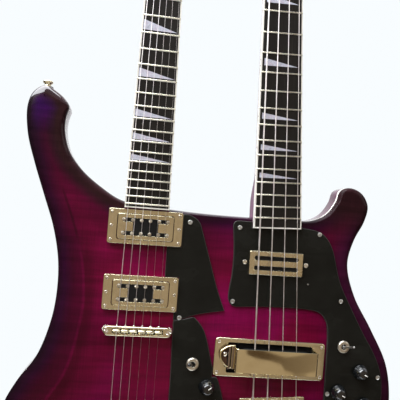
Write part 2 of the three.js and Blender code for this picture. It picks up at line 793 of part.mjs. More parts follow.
// Every tuner's place on its headstock: the post, the side that its key comes out of, and its number.
function postPlaces(neck) {
  const places = [];
  for (const side of [-1, 1]) {
    for (const z of postHeights(neck)) places.push({ side, z, x: side * neck.postX });
  }
  return places;
}

// Strings

// The strings' numbers and radii, from the thickest: each is thinner than the last by one ratio.
function stringSet(neck) {
  const last = neck.stringCount - 1;
  return Array.from({ length: neck.stringCount }, (_, number) => ({
    number,
    radius: neck.thickString * (neck.thinString / neck.thickString) ** (number / last),
  }));
}

function stringX(neck, number, spread) {
  return spread * (number / (neck.stringCount - 1) - 1 / 2);
}

// Which post each string runs to: the outer strings take the posts nearest the nut.
function stringPost(neck, number) {
  const half = neck.stringCount / 2;
  const side = number < half ? -1 : 1;
  const place = number < half ? number : neck.stringCount - 1 - number;
  return { side, z: postHeights(neck)[place], x: side * neck.postX };
}

// The middle of the ball ends, in a neck's frame.
function anchorOf(neck) {
  return { y: topFace - neck.anchorRise, z: -neck.anchorReach };
}

// A thin closed tube through points, mitred at each bend.
function wire(points, radius) {
  const rings = points.map((point, n) => {
    const before = points[Math.max(n - 1, 0)];
    const after = points[Math.min(n + 1, points.length - 1)];
    const along = after.clone().sub(before).normalize();
    const across = new THREE.Vector3(1, 0, 0).addScaledVector(along, -along.x).normalize();
    const other = along.clone().cross(across);
    const ring = [];
    for (let step = 0; step < stringSides; step += 1) {
      const angle = (step / stringSides) * fullTurn;
      ring.push(point.clone()
        .addScaledVector(across, radius * Math.cos(angle))
        .addScaledVector(other, radius * Math.sin(angle)));
    }
    return ring;
  });
  return loft(rings, "xy");
}

// All of a neck's strings, joined at the ball ends in the anchor.
function strings(kind, neck) {
  const headToNeck = frames[kind].head.matrix;
  const anchor = anchorOf(neck);
  const lines = stringSet(neck).map(({ radius, number }) => {
    const post = stringPost(neck, number);
    const inner = post.x - post.side * (neck.postRadius + radius + seatGap);
    const low = new THREE.Vector3(inner, -neck.postRise * stringExitShare, post.z).applyMatrix4(headToNeck);
    const saddleX = stringX(neck, number, neck.saddleSpread);
    const nutX = stringX(neck, number, neck.nutSpread);
    return wire([
      new THREE.Vector3(saddleX, anchor.y, anchor.z),
      new THREE.Vector3(saddleX, saddleTop - radius - seatGap, 0),
      new THREE.Vector3(nutX, nutFloor - radius - seatGap, neck.scale),
      new THREE.Vector3(nutX, nutFloor - radius - seatGap, neck.scale + nutThickness + seatGap),
      low,
    ], radius);
  });
  const half = neck.anchorRadius;
  const reach = neck.saddleSpread / 2 + half;
  const ballEnds = block(-reach, reach, anchor.y - half, anchor.y + half, anchor.z - half, anchor.z + half);
  return join(ballEnds, ...lines);
}

function nutPiece(neck) {
  const half = neck.nutWidth / 2 - seatGap;
  const nutFront = fretPlane - nutRise;
  const slots = stringSet(neck).map(({ radius, number }) => {
    const x = stringX(neck, number, neck.nutSpread);
    const room = radius + seatGap;
    return block(x - room, x + room, nutFront - overrun, nutFloor, neck.scale - overrun,
      neck.scale + nutThickness + overrun);
  });
  const [lower, upper] = [neck.scale + seatGap, neck.scale + nutThickness];
  const bar = block(-half, half, nutFront, neckFace - seatGap, lower, upper);
  return cut(bar, ...slots);
}

// Tuners: a plate with ears for the worm shafts, a key and a post with its gear at each place

function tunerLevels(neck) {
  const plateFront = neck.headThickness + seatGap;
  const gearFront = plateFront + plateThickness + gearLift;
  const wormY = gearFront + gearThickness / 2;
  const wormDrop = neck.gearRadius + neck.wormRadius + seatGap;
  return { plateFront, gearFront, wormY, wormDrop };
}

function tunerPlate(neck, side) {
  const { plateFront, wormY, wormDrop } = tunerLevels(neck);
  const plateBack = plateFront + plateThickness;
  const half = neck.gearRadius + plateMargin;
  const heights = postHeights(neck);
  const [lowest, highest] = [heights[0] - wormDrop - half / 2, heights.at(-1) + half];
  const postHole = postBore(neck);
  const shaftBore = (neck.wormRadius * shaftShare + seatGap) * boreShare;
  const earBack = wormY + neck.wormRadius + earMargin;
  const middle = side * neck.postX;
  const base = block(middle - half, middle + half, plateFront, plateBack, lowest, highest);
  const ears = [];
  const holes = [];
  for (const z of heights) {
    const wormZ = z - wormDrop;
    const earHalf = neck.wormRadius + earMargin;
    for (const end of [-1, 1]) {
      const x = middle + end * (earGap + seatGap + earThickness / 2);
      ears.push(block(x - earThickness / 2, x + earThickness / 2, plateFront + seatGap, earBack,
        wormZ - earHalf, wormZ + earHalf));
    }
    const reach = earGap + earThickness + overrun;
    const [from, to] = [-reach, reach].map((x) => new THREE.Vector3(middle + x, wormY, wormZ));
    holes.push(rod(from, to, shaftBore, smallRoundSteps));
    holes.push(pin(middle, z, plateFront - overrun, plateBack + overrun, postHole, smallRoundSteps));
  }
  return cut(join(base, ...ears), ...holes);
}

// A key with its own X axis on the shaft, pointing outward on its side.
function tunerKey(neck, side) {
  const shaftRadius = neck.wormRadius * shaftShare;
  const innerEnd = earGap + earThickness + seatGap;
  const buttonStart = neck.headWidth / 2 - neck.postX + keyReach;
  const along = (x) => new THREE.Vector3(side * x, 0, 0);
  const shaft = rod(along(-innerEnd), along(buttonStart + keySeat), shaftRadius, smallRoundSteps);
  const worm = rod(along(-earGap), along(earGap), neck.wormRadius, smallRoundSteps);
  const collar = rod(along(buttonStart - overrun), along(buttonStart + keySeat), shaftRadius * collarShare,
    smallRoundSteps);
  const button = new THREE.SphereGeometry(1, smallRoundSteps, ballRings);
  button.scale(neck.buttonLength / 2, neck.buttonThickness / 2, neck.buttonWidth / 2);
  button.translate(side * (buttonStart + neck.buttonLength / 2), 0, 0);
  return join(shaft, worm, collar, button);
}

// A post with its own Y axis, from its gear behind the plate to its tip in front of the headstock.
function stringPostPiece(neck) {
  const { gearFront } = tunerLevels(neck);
  const gear = pin(0, 0, gearFront, gearFront + gearThickness, neck.gearRadius, wideRoundSteps);
  const post = pin(0, 0, -neck.postRise, gearFront + gearThickness / 2, neck.postRadius, roundSteps);
  return join(gear, post);
}

function addTuners(kind, neck) {
  const { head } = frames[kind];
  const { wormY, wormDrop } = tunerLevels(neck);
  for (const [side, word] of [[-1, "left"], [1, "right"]]) {
    addPiece(`${kind}_tuner_plate_${word}`, tunerPlate(neck, side), "chrome", head);
  }
  postPlaces(neck).forEach(({ side, z, x }, n) => {
    const key = addPiece(`${kind}_tuner_key_${n + 1}`, tunerKey(neck, side), "chrome", head);
    key.position.set(x, wormY, z - wormDrop);
    const post = addPiece(`${kind}_string_post_${n + 1}`, stringPostPiece(neck), "chrome", head);
    post.position.set(x, 0, z);
  });
}

// Pickguards with what is fixed under them: the pots' cans and bushings and the switches' bodies

function potUnder({ x, z }) {
  const can = pin(x, z, guardBack - seatGap, guardBack + potDepth, potRadius, roundSteps);
  const nut = pin(x, z, guardFace - potNutHeight, guardBack, potNutRadius, smallRoundSteps);
  return join(can, nut);
}

function potBore({ x, z }) {
  return pin(x, z, guardFace - potNutHeight - overrun, guardBack + potDepth - overrun,
    (knobShaftRadius + seatGap) * boreShare, smallRoundSteps);
}

function switchUnder({ x, z }) {
  const nut = pin(x, z, guardFace - switchNutHeight, guardBack, switchNutRadius, roundSteps);
  const half = switchBodyWidth / 2;
  const [front, back] = [guardBack - seatGap, guardBack + switchBodyDepth];
  const body = block(x - half, x + half, front, back, z - half, z + half);
  return join(nut, body);
}

function switchBore({ x, z }) {
  const pivot = guardFace - switchNutHeight / 2;
  return pin(x, z, guardFace - switchNutHeight - overrun, pivot + switchBallRadius + seatGap,
    switchBallRadius + seatGap, roundSteps);
}

// The room that a neck's board and heel take at the body's end of the board.
function boardRoom(kind, neck) {
  const half = neck.endWidth / 2 + seatGap;
  const top = neck.bodyEdge + heelLift;
  return fromNeck(kind, block(-half, half, fretPlane, topFace, neck.boardEnd - seatGap, top));
}

function addPickguards() {
  const guard = (frame, shares) => plate(outlineIn(frame, shares), guardFace, guardBack);
  const rings = [neckRingZ, bridgeRingZ].map(ringRoom);
  const upper = cut(guard(guitarUpperGuard, guitarUpperShares), ...rings, surroundRoom());
  addPiece("guitar_pickguard_upper", upper, "black");

  const lower = join(
    cut(guard(guitarLowerGuard, guitarLowerShares), surroundRoom()),
    ...guitarKnobs.map(potUnder),
    switchUnder(guitarSwitch),
  );
  const lowerBores = [...guitarKnobs.map(potBore), switchBore(guitarSwitch)];
  addPiece("guitar_pickguard_lower", cut(lower, ...lowerBores), "black");

  const rooms = [boardRoom("bass", bass), bassPickupRoom(), surroundRoom()];
  const whole = cut(guard(bassGuard, bassGuardShares), ...rooms);
  const withPots = join(whole, ...bassKnobs.map(potUnder), switchUnder(bassSwitch));
  const bassBores = [...bassKnobs.map(potBore), switchBore(bassSwitch)];
  addPiece("bass_pickguard", cut(withPots, ...bassBores), "black");
}

// Guitar pickups

function ringRoom(z) {
  const room = 2 * seatGap;
  const outline = roundedRectangle(guitar.axisX, z, ringWidth + room, ringHeight + room, ringCorner);
  return plate(outline, topFace - ringRise - overrun, topFace + overrun);
}

function pickupRing(z) {
  const outer = roundedRectangle(guitar.axisX, z, ringWidth, ringHeight, ringCorner);
  const room = 2 * coverGap;
  const mouth = roundedRectangle(guitar.axisX, z, coverWidth + room, coverHeight + room, coverCorner);
  return plate(outer, topFace - ringRise, topFace - seatGap, [mouth]);
}

function guitarPickup(z) {
  const cover = roundedRectangle(guitar.axisX, z, coverWidth, coverHeight, coverCorner);
  const front = topFace - coverRise;
  const baseFront = topFace + basePlateDepth;
  const slots = [-1, 1].map((side) => {
    const outline = stadium(guitar.axisX, z + side * slotOffset, slotReach, slotHeight / 2);
    return plate(outline, front - overrun, front + slotDepth);
  });
  const window = block(guitar.axisX - windowReach, guitar.axisX + windowReach, front - overrun,
    front + slotDepth, z - slotOffset, z + slotOffset);
  const baseHalf = (coverHeight * basePlateShare) / 2;
  const base = block(guitar.axisX - basePlateReach, guitar.axisX + basePlateReach, baseFront,
    baseFront + basePlateThickness, z - baseHalf, z + baseHalf);
  const screws = [-1, 1].map((side) => pin(guitar.axisX + side * heightScrewX, z, topFace,
    baseFront + basePlateThickness, heightScrewRadius, smallRoundSteps));
  const shell = cut(plate(cover, front, baseFront + seatGap), ...slots, window);
  return join(shell, base, ...screws);
}

// Bass pickups

function bassPickupRoom() {
  const { width, height, corner } = bassPickup;
  const room = 2 * seatGap;
  const outline = roundedRectangle(bassPickupX, bassPickupZ, width + room, height + room, corner);
  return plate(outline, guardFace - overrun, topFace + overrun);
}

function bassNeckPickup() {
  const { width, height, corner, rise } = bassPickup;
  const [x, z] = [bassPickupX, bassPickupZ];
  const front = topFace - rise;
  const baseFront = topFace + basePlateDepth;
  const slots = [-1, 1].map((side) => {
    const outline = stadium(x, z + side * bassSlotOffset, bassSlotReach, bassSlotHeight / 2);
    return plate(outline, front - overrun, front + slotDepth);
  });
  const reach = bassScrewX + plateMargin;
  const baseHalf = (height * basePlateShare) / 2;
  const baseBack = baseFront + basePlateThickness;
  const base = block(x - reach, x + reach, baseFront, baseBack, z - baseHalf, z + baseHalf);
  const screws = [-1, 1].map((side) => pin(x + side * bassScrewX, z, topFace, baseFront + basePlateThickness,
    heightScrewRadius, smallRoundSteps));
  const outline = roundedRectangle(x, z, width, height, corner);
  const shell = cut(plate(outline, front, baseFront + seatGap), ...slots);
  return join(shell, base, ...screws);
}

function surroundRoom() {
  const { width, height, corner, rise } = surroundSize;
  const room = 2 * seatGap;
  const outline = roundedRectangle(surroundX, surroundZ, width + room, height + room, corner);
  return plate(outline, topFace - rise - overrun, topFace + overrun);
}

// A box's outline with its corners rounded.
function roundedBox(box, corner) {
  const [x, z] = [(box.left + box.right) / 2, (box.bottom + box.top) / 2];
  return roundedRectangle(x, z, box.right - box.left, box.top - box.bottom, corner);
}

function pickupSurround() {
  const { corner, rise } = surroundSize;
  const mouth = roundedBox(surroundMouth, corner);
  return plate(roundedBox(surround, corner), topFace - rise, topFace - seatGap, [mouth]);
}

// The raised cover: a bent plate over the strings, a cheek at each end and a half-round boss at the left.
function raisedCover() {
  const { left, right, bottom, top } = raisedBox;
  const front = fretPlane - raisedRise;
  const foot = topFace - surroundSize.rise - seatGap;
  const lid = block(left, right, front, front + raisedWall, bottom, top);
  const cheeks = [[left, left + cheekThickness], [right - cheekThickness, right]].map(([from, to]) =>
    block(from, to, front, foot, bottom, top));
  const round = pin(boss.x, boss.z, foot - bossPlace.rise, foot, bossPlace.radius, wideRoundSteps);
  const neckToBoss = block(boss.x, left + raisedWall, foot - bossPlace.rise, foot, bottom,
    boss.z + bossPlace.radius / 2);
  return join(lid, ...cheeks, round, neckToBoss);
}

function coilBlockPiece() {
  return plate(roundedBox(coilBox, surroundSize.corner), fretPlane + coilRecess, cavityFloor - seatGap);
}

// Bridges and tailpiece

function saddleBlock(neck, number, width, length, back) {
  const x = stringX(neck, number, neck.saddleSpread);
  const feet = [-length / 2, length / 2].map((z) => new THREE.Vector2(z, back));
  const peak = [saddlePeak / 2, -saddlePeak / 2].map((z) => new THREE.Vector2(z, saddleTop));
  const outline = [...feet, ...peak];
  return sidePlate(outline, x - width / 2, x + width / 2);
}

function guitarBridge() {
  const bridgeFront = saddleTop + saddleRise;
  const bar = plate(stadium(0, 0, bridgeReach, bridgeHalfWidth), bridgeFront, bridgeFront + bridgeThickness);
  const saddles = stringSet(guitar).map(({ number }) =>
    saddleBlock(guitar, number, saddleWidth, saddleLength, bridgeFront + seatGap));
  const posts = [-1, 1].flatMap((side) => {
    const x = side * bridgePostX;
    const wheelBack = topFace - seatGap;
    return [
      pin(x, 0, bridgeFront + seatGap, topFace + bridgePostDepth, bridgePostRadius, smallRoundSteps),
      pin(x, 0, wheelBack - thumbwheelThickness, wheelBack, thumbwheelRadius, roundSteps),
    ];
  });
  return join(bar, ...saddles, ...posts);
}

function guitarTailpiece() {
  const anchor = anchorOf(guitar);
  const [barFront, barBack] = [anchor.y - barRise, anchor.y + barSink];
  const [barBottom, barTop] = [anchor.z - barBelow, anchor.z + barAbove];
  const bar = block(-barReach, barReach, barFront, barBack, barBottom, barTop);
  const room = guitar.anchorRadius + seatGap;
  const channel = block(-barReach + overrun, barReach - overrun, anchor.y - room, anchor.y + room,
    barBottom - overrun, barBottom + channelDepth);
  const notches = stringSet(guitar).map(({ radius, number }) => {
    const x = stringX(guitar, number, guitar.saddleSpread);
    const half = radius + seatGap;
    return block(x - half, x + half, barFront - overrun, anchor.y + room, anchor.z - room, barTop + overrun);
  });
  const legY = topFace - legRadius - seatGap;
  const bracketTop = bodyBottom + bracketHeight;
  const hingeZ = bracketTop - legRadius;
  const tabFront = guardBack - bracketThickness;
  const legs = [-1, 1].map((side) => rod(
    new THREE.Vector3(side * legTopX, legY, barBottom + channelDepth),
    new THREE.Vector3(side * legBottomX, tabFront - legRadius / 2, hingeZ), legRadius, smallRoundSteps));
  const barrel = rod(new THREE.Vector3(-bracketReach, tabFront - legRadius / 2, hingeZ),
    new THREE.Vector3(bracketReach, tabFront - legRadius / 2, hingeZ), legRadius, smallRoundSteps);
  const sideFace = bodySeat - seatGap;
  const outer = sideFace - bracketThickness;
  const frontTab = block(-bracketReach, bracketReach, tabFront, guardBack, outer, bracketTop);
  const sideTab = block(-bracketReach, bracketReach, tabFront, -bracketFoot, outer, sideFace);
  return join(cut(bar, channel, ...notches), ...legs, barrel, frontTab, sideTab);
}

function bassBridge() {
  const { reach, top, thickness, anchorMargin } = bassPlate;
  const anchor = anchorOf(bass);
  const bottom = anchor.z - anchorMargin;
  const wallFront = anchor.y - bassWall.rise;
  const plateFront = topFace - seatGap - thickness;
  const base = block(-reach, reach, plateFront, topFace - seatGap, bottom, top);
  const wallTop = bottom + bassWall.thickness;
  const wall = block(-reach, reach, wallFront, topFace - seatGap, bottom, wallTop);
  const room = bass.anchorRadius + seatGap;
  const channel = block(-reach + overrun, reach - overrun, anchor.y - room, anchor.y + room,
    bottom - overrun, bottom + bassWall.channel);
  const notches = stringSet(bass).map(({ radius, number }) => {
    const x = stringX(bass, number, bass.saddleSpread);
    const half = radius + seatGap;
    const [lower, upper] = [anchor.z - room, wallTop + overrun];
    return block(x - half, x + half, wallFront - overrun, anchor.y + room, lower, upper);
  });
  const saddles = stringSet(bass).flatMap(({ number }) => {
    const x = stringX(bass, number, bass.saddleSpread);
    const { width, length, screwRadius, screwRise } = bassSaddle;
    const [from, to] = [wallTop - overrun, 0].map((z) => new THREE.Vector3(x, topFace - screwRise, z));
    return [
      saddleBlock(bass, number, width - 2 * seatGap, length, plateFront - seatGap),
      rod(from, to, screwRadius, smallRoundSteps),
    ];
  });
  return join(cut(join(base, wall), channel, ...notches), ...saddles);
}

// Knobs and switch levers

function knob() {
  const start = guardFace - knobClearance;
  const skirt = pin(0, 0, start - knobSkirt, start, knobRadius, wideRoundSteps);
  const [domeFront, domeBack] = [start - knobHeight, start - knobSkirt + seatGap];
  const dome = pin(0, 0, domeFront, domeBack, knobRadius - seatGap, wideRoundSteps, knobTopRadius);
  const shaftBack = guardBack + potDepth - overrun - seatGap;
  const shaft = pin(0, 0, start - seatGap, shaftBack, knobShaftRadius, smallRoundSteps);
  return join(skirt, dome, shaft);
}

// A lever that turns about the middle of its ball and leans over at rest.
function lever({ leanAngle, towardsAngle }) {
  const [lean, towards] = [leanAngle * degree, towardsAngle * degree];
  const sideways = Math.sin(lean);
  const direction = new THREE.Vector3(
    sideways * Math.cos(towards),
    -Math.cos(lean),
    sideways * Math.sin(towards),
  );
  const ball = new THREE.SphereGeometry(switchBallRadius, smallRoundSteps, ballRings);
  const tip = direction.clone().multiplyScalar(leverLength);
  const arm = rod(new THREE.Vector3(), tip, leverRadius, smallRoundSteps);
  const end = new THREE.SphereGeometry(leverTipRadius, smallRoundSteps, ballRings);
  return join(ball, arm, end.translate(tip.x, tip.y, tip.z));
}

function addControls() {
  for (const [kind, places] of [["guitar", guitarKnobs], ["bass", bassKnobs]]) {
    places.forEach(({ x, z }, n) => {
      addPiece(`${kind}_knob_${n + 1}`, knob(), "black").position.set(x, 0, z);
    });
  }
  for (const [kind, place] of [["guitar", guitarSwitch], ["bass", bassSwitch]]) {
    const piece = addPiece(`${kind}_switch_lever`, lever(place), "chrome");
    piece.position.set(place.x, guardFace - switchNutHeight / 2, place.z);
  }
}

// Jack plate and strap buttons

function jackPlate() {
  const { x, y, width, height, thickness } = jack;
  const front = jackSeat - seatGap - thickness;
  const base = block(x - width / 2, x + width / 2, y - height / 2, y + height / 2, front, jackSeat - seatGap);
  const places = [-1, 1].map((side) => x + (side * jackSpacing) / 2);
  const along = (px, z) => new THREE.Vector3(px, y, z);
  const sleeves = places.flatMap((px) => [
    rod(along(px, front), along(px, jackSeat + socketLength), socketBore + socketWall, roundSteps),
    rod(along(px, front - socketNutHeight), along(px, front + seatGap), socketNutRadius, roundSteps / 2),
  ]);
  const bores = places.map((px) => rod(along(px, front - socketNutHeight - overrun),
    along(px, jackSeat + socketLength - socketWall), socketBore, smallRoundSteps));
  return cut(join(base, ...sleeves), ...bores);
}

function jackRoom() {
  const { x, y, width, height } = jack;
  const half = jackSpacing / 2 + socketBore + socketWall + overrun;
  const tall = socketBore + socketWall + socketRoom;
  const seatCut = block(x - width / 2 - seatGap, x + width / 2 + seatGap, y - height / 2 - seatGap,
    y + height / 2 + seatGap, bodyBottom - overrun, jackSeat);
  const holeEnd = jackSeat + socketLength + overrun;
  const hole = block(x - half, x + half, y - tall, y + tall, jackSeat - overrun, holeEnd);
  return [seatCut, hole];
}

// A strap button turned about its own Z axis, its base at zero.
function strapButton() {
  const headStart = strapHeight - strapHeadHeight;
  const profile = [
    [0, 0], [strapBase, 0], [strapBase, strapBaseHeight], [strapNeck, strapNeckStart],
    [strapNeck, headStart - strapEdge], [strapHead, headStart], [strapHead, strapHeight - strapEdge],
    [strapTop, strapHeight], [0, strapHeight],
  ];
  const geometry = new THREE.LatheGeometry(profile.map(([r, h]) => new THREE.Vector2(r, h)), roundSteps);
  return geometryOf(solidOf(geometry.rotateX(Math.PI / 2)));
}

function addStrapButtons() {
  const horn = addPiece("strap_button_horn", strapButton(), "chrome");
  horn.position.set(outlineX(hornTipShare), strapY, bodyTopZ + seatGap);
  const tail = addPiece("strap_button_tail", strapButton(), "chrome");
  tail.position.set(tailStrapX, strapY, bodyBottom - seatGap);
  tail.rotation.x = Math.PI;
}

// Body pieces and the cavities that are cut in them

function heelRoom(kind, neck) {
  const half = neck.heelHalf + seatGap;
  const top = neck.bodyEdge + heelLift;
  const bottom = neck.bodyEdge - neck.tenon - seatGap;
  return fromNeck(kind, block(-half, half, capBack - overrun, -heelBack + seatGap, bottom, top));
}

function capNotch(kind, neck) {
  const half = neck.heelHalf + seatGap;
  const top = neck.bodyEdge + heelLift;
  return fromNeck(kind, block(-half, half, topFace - overrun, capBack + overrun, neck.boardEnd, top));
}

// A cavity from the body's top down to its floor, round a box in X and Z.
function cavity({ left, right, bottom, top }, margin = cavityMargin) {
  return block(left - margin, right + margin, topFace - overrun, cavityFloor, bottom - margin, top + margin);
}

function pickupCavities() {
  const guitarOnes = [neckRingZ, bridgeRingZ].map((z) =>
    cavity(boxAround(guitar.axisX, z, 2 * basePlateReach, coverHeight)));
  const bassReach = bassScrewX + plateMargin;
  const bassOne = boxAround(bassPickupX, bassPickupZ, 2 * bassReach, bassPickup.height);
  return [...guitarOnes, cavity(bassOne), cavity(coilBox)];
}

// A cavity round a group of controls, wide enough for the pots and the switch.
function controlCavity(places) {
  const xs = places.map(({ x }) => x);
  const zs = places.map(({ z }) => z);
  const [left, right] = [Math.min(...xs), Math.max(...xs)];
  const [bottom, top] = [Math.min(...zs), Math.max(...zs)];
  return cavity({ left, right, bottom, top }, potRadius + overrun);
}

function bridgePostHoles() {
  return [-1, 1].map((side) => pin(guitar.axisX + side * bridgePostX, 0, topFace - overrun,
    topFace + bridgePostDepth + seatGap, bridgePostRadius + seatGap, smallRoundSteps));
}

function addBody() {
  const rimInset = bindingDepth + seatGap;
  const cavities = [
    ...pickupCavities(),
    controlCavity([...guitarKnobs, guitarSwitch]),
    controlCavity([...bassKnobs, bassSwitch]),
    ...bridgePostHoles(),
  ];
  const seats = jackRoom();
  const back = loft([
    bodyRing(0, backRound),
    bodyRing(-backRound * roundShare, backRound * roundShare),
    bodyRing(-backRound, 0),
    bodyRing(capBack, 0),
  ], "xz");
  const pockets = [heelRoom("guitar", guitar), heelRoom("bass", bass)];
  addPiece("body", cut(back, ...cavities, ...pockets, ...seats), "backStain");

  const inner = loft([
    bodyRing(capBack - seatGap, rimInset, 0, 0),
    bodyRing(rimFace - seatGap, rimInset, 0, 0),
  ], "xz");
  const carved = loft([
    bodyRing(rimFace, 0),
    ...rollShares.map(([rise, inward]) => bodyRing(rimFace - rollDepth * rise, 0, inward)),
    bodyRing(topFace, 0, 1),
  ], "xz");
  const notches = [capNotch("guitar", guitar), capNotch("bass", bass)];
  addPiece("maple_top", cut(join(inner, carved), ...cavities, ...notches, ...seats), "stain");

  const outerBand = loft([bodyRing(capBack - seatGap, 0), bodyRing(rimFace + seatGap, 0)], "xz");
  const innerLevels = [capBack + overrun, rimFace - overrun];
  const innerBand = loft(innerLevels.map((y) => bodyRing(y, bindingDepth)), "xz");
  addPiece("body_binding", largestPart(cut(outerBand, innerBand, ...notches)), "binding");
}

function addNeck(kind, neck) {
  const { frame } = frames[kind];
  const toNeck = frame.matrixWorld.clone().invert();
  const rooms = pickupCavities().map((room) => room.applyMatrix4(toNeck));
  addPiece(`${kind}_neck`, cut(neckPiece(kind, neck), ...rooms), "neckWood", frame);
  addPiece(`${kind}_fretboard`, fretboard(neck), "ebony", frame);
  addPiece(`${kind}_nut`, nutPiece(neck), "nut", frame);
  addPiece(`${kind}_strings`, strings(kind, neck), "steel", frame);
  addTuners(kind, neck);
}

addBody();
addNeck("guitar", guitar);
addNeck("bass", bass);
addPickguards();
addPiece("guitar_neck_pickup_ring", pickupRing(neckRingZ), "chrome");
addPiece("guitar_bridge_pickup_ring", pickupRing(bridgeRingZ), "chrome");
addPiece("guitar_neck_pickup", guitarPickup(neckRingZ), "chrome");
addPiece("guitar_bridge_pickup", guitarPickup(bridgeRingZ), "chrome");
addPiece("bass_neck_pickup", bassNeckPickup(), "chrome");
addPiece("bass_bridge_pickup_surround", pickupSurround(), "chrome");
addPiece("bass_bridge_pickup_cover", raisedCover(), "chrome");
addPiece("bass_bridge_pickup", coilBlockPiece(), "black");
addPiece("guitar_bridge", guitarBridge(), "chrome", frames.guitar.frame);
addPiece("guitar_tailpiece", guitarTailpiece(), "chrome", frames.guitar.frame);
addPiece("bass_bridge", bassBridge(), "chrome", frames.bass.frame);
addControls();
addPiece("jack_plate", jackPlate(), "chrome");
addStrapButtons();

export default model;
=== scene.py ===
"""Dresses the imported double-neck electric guitar: carved flame top, necks, plated parts and controls.

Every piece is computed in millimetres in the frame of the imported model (X right, Y into the body,
Z up the six-string neck) and stored in metres. Each piece rides on the body that it belongs to.
"""

import math

import bpy
import numpy as np
from bpy.props import FloatProperty, FloatVectorProperty, IntProperty, PointerProperty
from mathutils import Matrix, Vector
from mathutils.geometry import delaunay_2d_cdt, tessellate_polygon


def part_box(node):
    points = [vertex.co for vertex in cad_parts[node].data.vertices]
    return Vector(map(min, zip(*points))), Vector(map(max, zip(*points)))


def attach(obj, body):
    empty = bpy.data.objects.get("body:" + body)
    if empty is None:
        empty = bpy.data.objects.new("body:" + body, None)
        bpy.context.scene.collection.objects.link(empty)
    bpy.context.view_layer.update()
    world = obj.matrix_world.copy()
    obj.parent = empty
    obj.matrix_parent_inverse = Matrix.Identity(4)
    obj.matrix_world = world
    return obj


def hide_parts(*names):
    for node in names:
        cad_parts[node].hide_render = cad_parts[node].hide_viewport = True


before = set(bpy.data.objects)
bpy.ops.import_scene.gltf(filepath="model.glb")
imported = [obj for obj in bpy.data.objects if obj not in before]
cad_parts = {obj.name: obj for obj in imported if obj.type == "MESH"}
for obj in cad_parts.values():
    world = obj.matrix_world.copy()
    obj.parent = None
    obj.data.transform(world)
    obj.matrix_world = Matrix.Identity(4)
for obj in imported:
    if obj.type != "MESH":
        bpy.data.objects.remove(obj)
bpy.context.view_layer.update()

bl_info = {
    "name": "Double-neck guitar dresser",
    "version": (1, 0, 0),
    "blender": (4, 5, 0),
    "location": "3D View > Sidebar > Guitar",
    "description": "Builds the detailed pieces and materials of a double-neck electric guitar",
    "category": "Object",
}

MM = 0.001
TINY = 1e-9
HALF_WAY = 0.499
FULL_TURN = 2 * math.pi
STILL = "instrument"
FINISHES = {}

# Directions, and the turn that faces a part to the back
SIDEWAYS, INWARD, FRONTWARD = (1.0, 0.0, 0.0), (0.0, 1.0, 0.0), (0.0, -1.0, 0.0)
UPWARD, DOWNWARD = (0.0, 0.0, 1.0), (0.0, 0.0, -1.0)
FROM_BEHIND = np.diag([1.0, -1.0, 1.0, 1.0])

# A screw's head: how domed it is, and its slot's or cross's size, as shares of its radius and rise
DOME_SHARE = 0.86
ARM_WIDTH, ARM_DEPTH = 0.14, 0.62
CROSS_LENGTH, SLOT_LENGTH = 0.62, 2.0

# Levels, from the back (0) forward, which is towards negative Y
BACK_ROUNDING = 4.0
CAP_BACK = -25.0
BINDING_BACK = -25.3
BINDING_FRONT = -29.7
RIM_FACE = -30.0
TOP_FACE = -38.0
ON_TOP = -38.1
BOARD_FACE = -45.9
BOARD_BACK = -39.9
NECK_FACE = -39.6
GUARD_BACK = -38.1
GUARD_FACE = -40.7
CAN_FACE = -37.9
BUSHING_FACE = -40.6
SADDLE_TOP = -50.4
NUT_FRONT = -48.4
STRING_AT_NUT = -47.8
STRING_AT_SADDLE = -50.7
HEEL_BACK = -8.0
EDGE_MIDDLE = -14.0

# The body's outline in the frame, and where the necks meet it
BODY_LEFT, BODY_RIGHT = -248.0, 255.0
BODY_BOTTOM, BODY_TOP = -213.0, 296.96
HEEL_LEFT, HEEL_RIGHT = -117.5, 110.4
JOINT_Z = 151.96
HEEL_LEFT_SHARE, HEEL_RIGHT_SHARE, JOINT_SHARE = 0.2594, 0.7125, 0.716
ROLL_WIDTH = 46.0
CREASE = 1.2
SCOOP_WIDTH = 40.0
SCOOP_TOP = 172.0
GRID_STEP = 9.0

# The two necks with their strings, tuners and inlays
GUITAR = {
    "name": "guitar", "axis": (-90.0, 0.0), "turn": 0.0, "scale": 628.65, "frets": 24,
    "nut_width": 41.0, "end_width": 56.0, "board_end": 151.96, "body_edge": 154.0, "cover_half": 9.0,
    "depth": 15.5, "head_length": 176.0, "head_width": 76.0, "head_thickness": 14.0,
    "strings": 6, "thick": 0.58, "thin": 0.13, "nut_spread": 34.0, "saddle_spread": 51.5,
    "anchor_rise": 6.6, "anchor_reach": 107.5, "post_shares": (0.273, 0.489, 0.705), "post_x": 24.0,
    "post_radius": 3.0, "post_rise": 13.0, "gear_radius": 6.2, "worm_radius": 2.3, "teeth": 15,
    "button": (16.0, 6.5, 17.0), "inlay_foot": 0.15, "inlay_top": 0.74, "inlay_left": 2.0,
    "inlay_right": 3.4, "drawn": 0.7, "wound": 3, "wraps": 3.0,
}
BASS = {
    "name": "bass", "axis": (89.5, -89.47), "turn": -2.46, "scale": 863.6, "frets": 22,
    "nut_width": 41.5, "end_width": 63.5, "board_end": 228.54, "body_edge": 243.7, "cover_half": 11.0,
    "depth": 17.5, "head_length": 214.0, "head_width": 92.0, "head_thickness": 15.0,
    "strings": 4, "thick": 1.33, "thin": 0.57, "nut_spread": 30.0, "saddle_spread": 57.0,
    "anchor_rise": 8.5, "anchor_reach": 49.5, "post_shares": (0.29, 0.607), "post_x": 27.0,
    "post_radius": 5.5, "post_rise": 16.0, "gear_radius": 10.5, "worm_radius": 3.2, "teeth": 20,
    "button": (24.0, 9.0, 26.0), "inlay_foot": 0.34, "inlay_top": 0.72, "inlay_left": 4.4,
    "inlay_right": 5.4, "drawn": 0.72, "wound": 4, "wraps": 2.0,
}

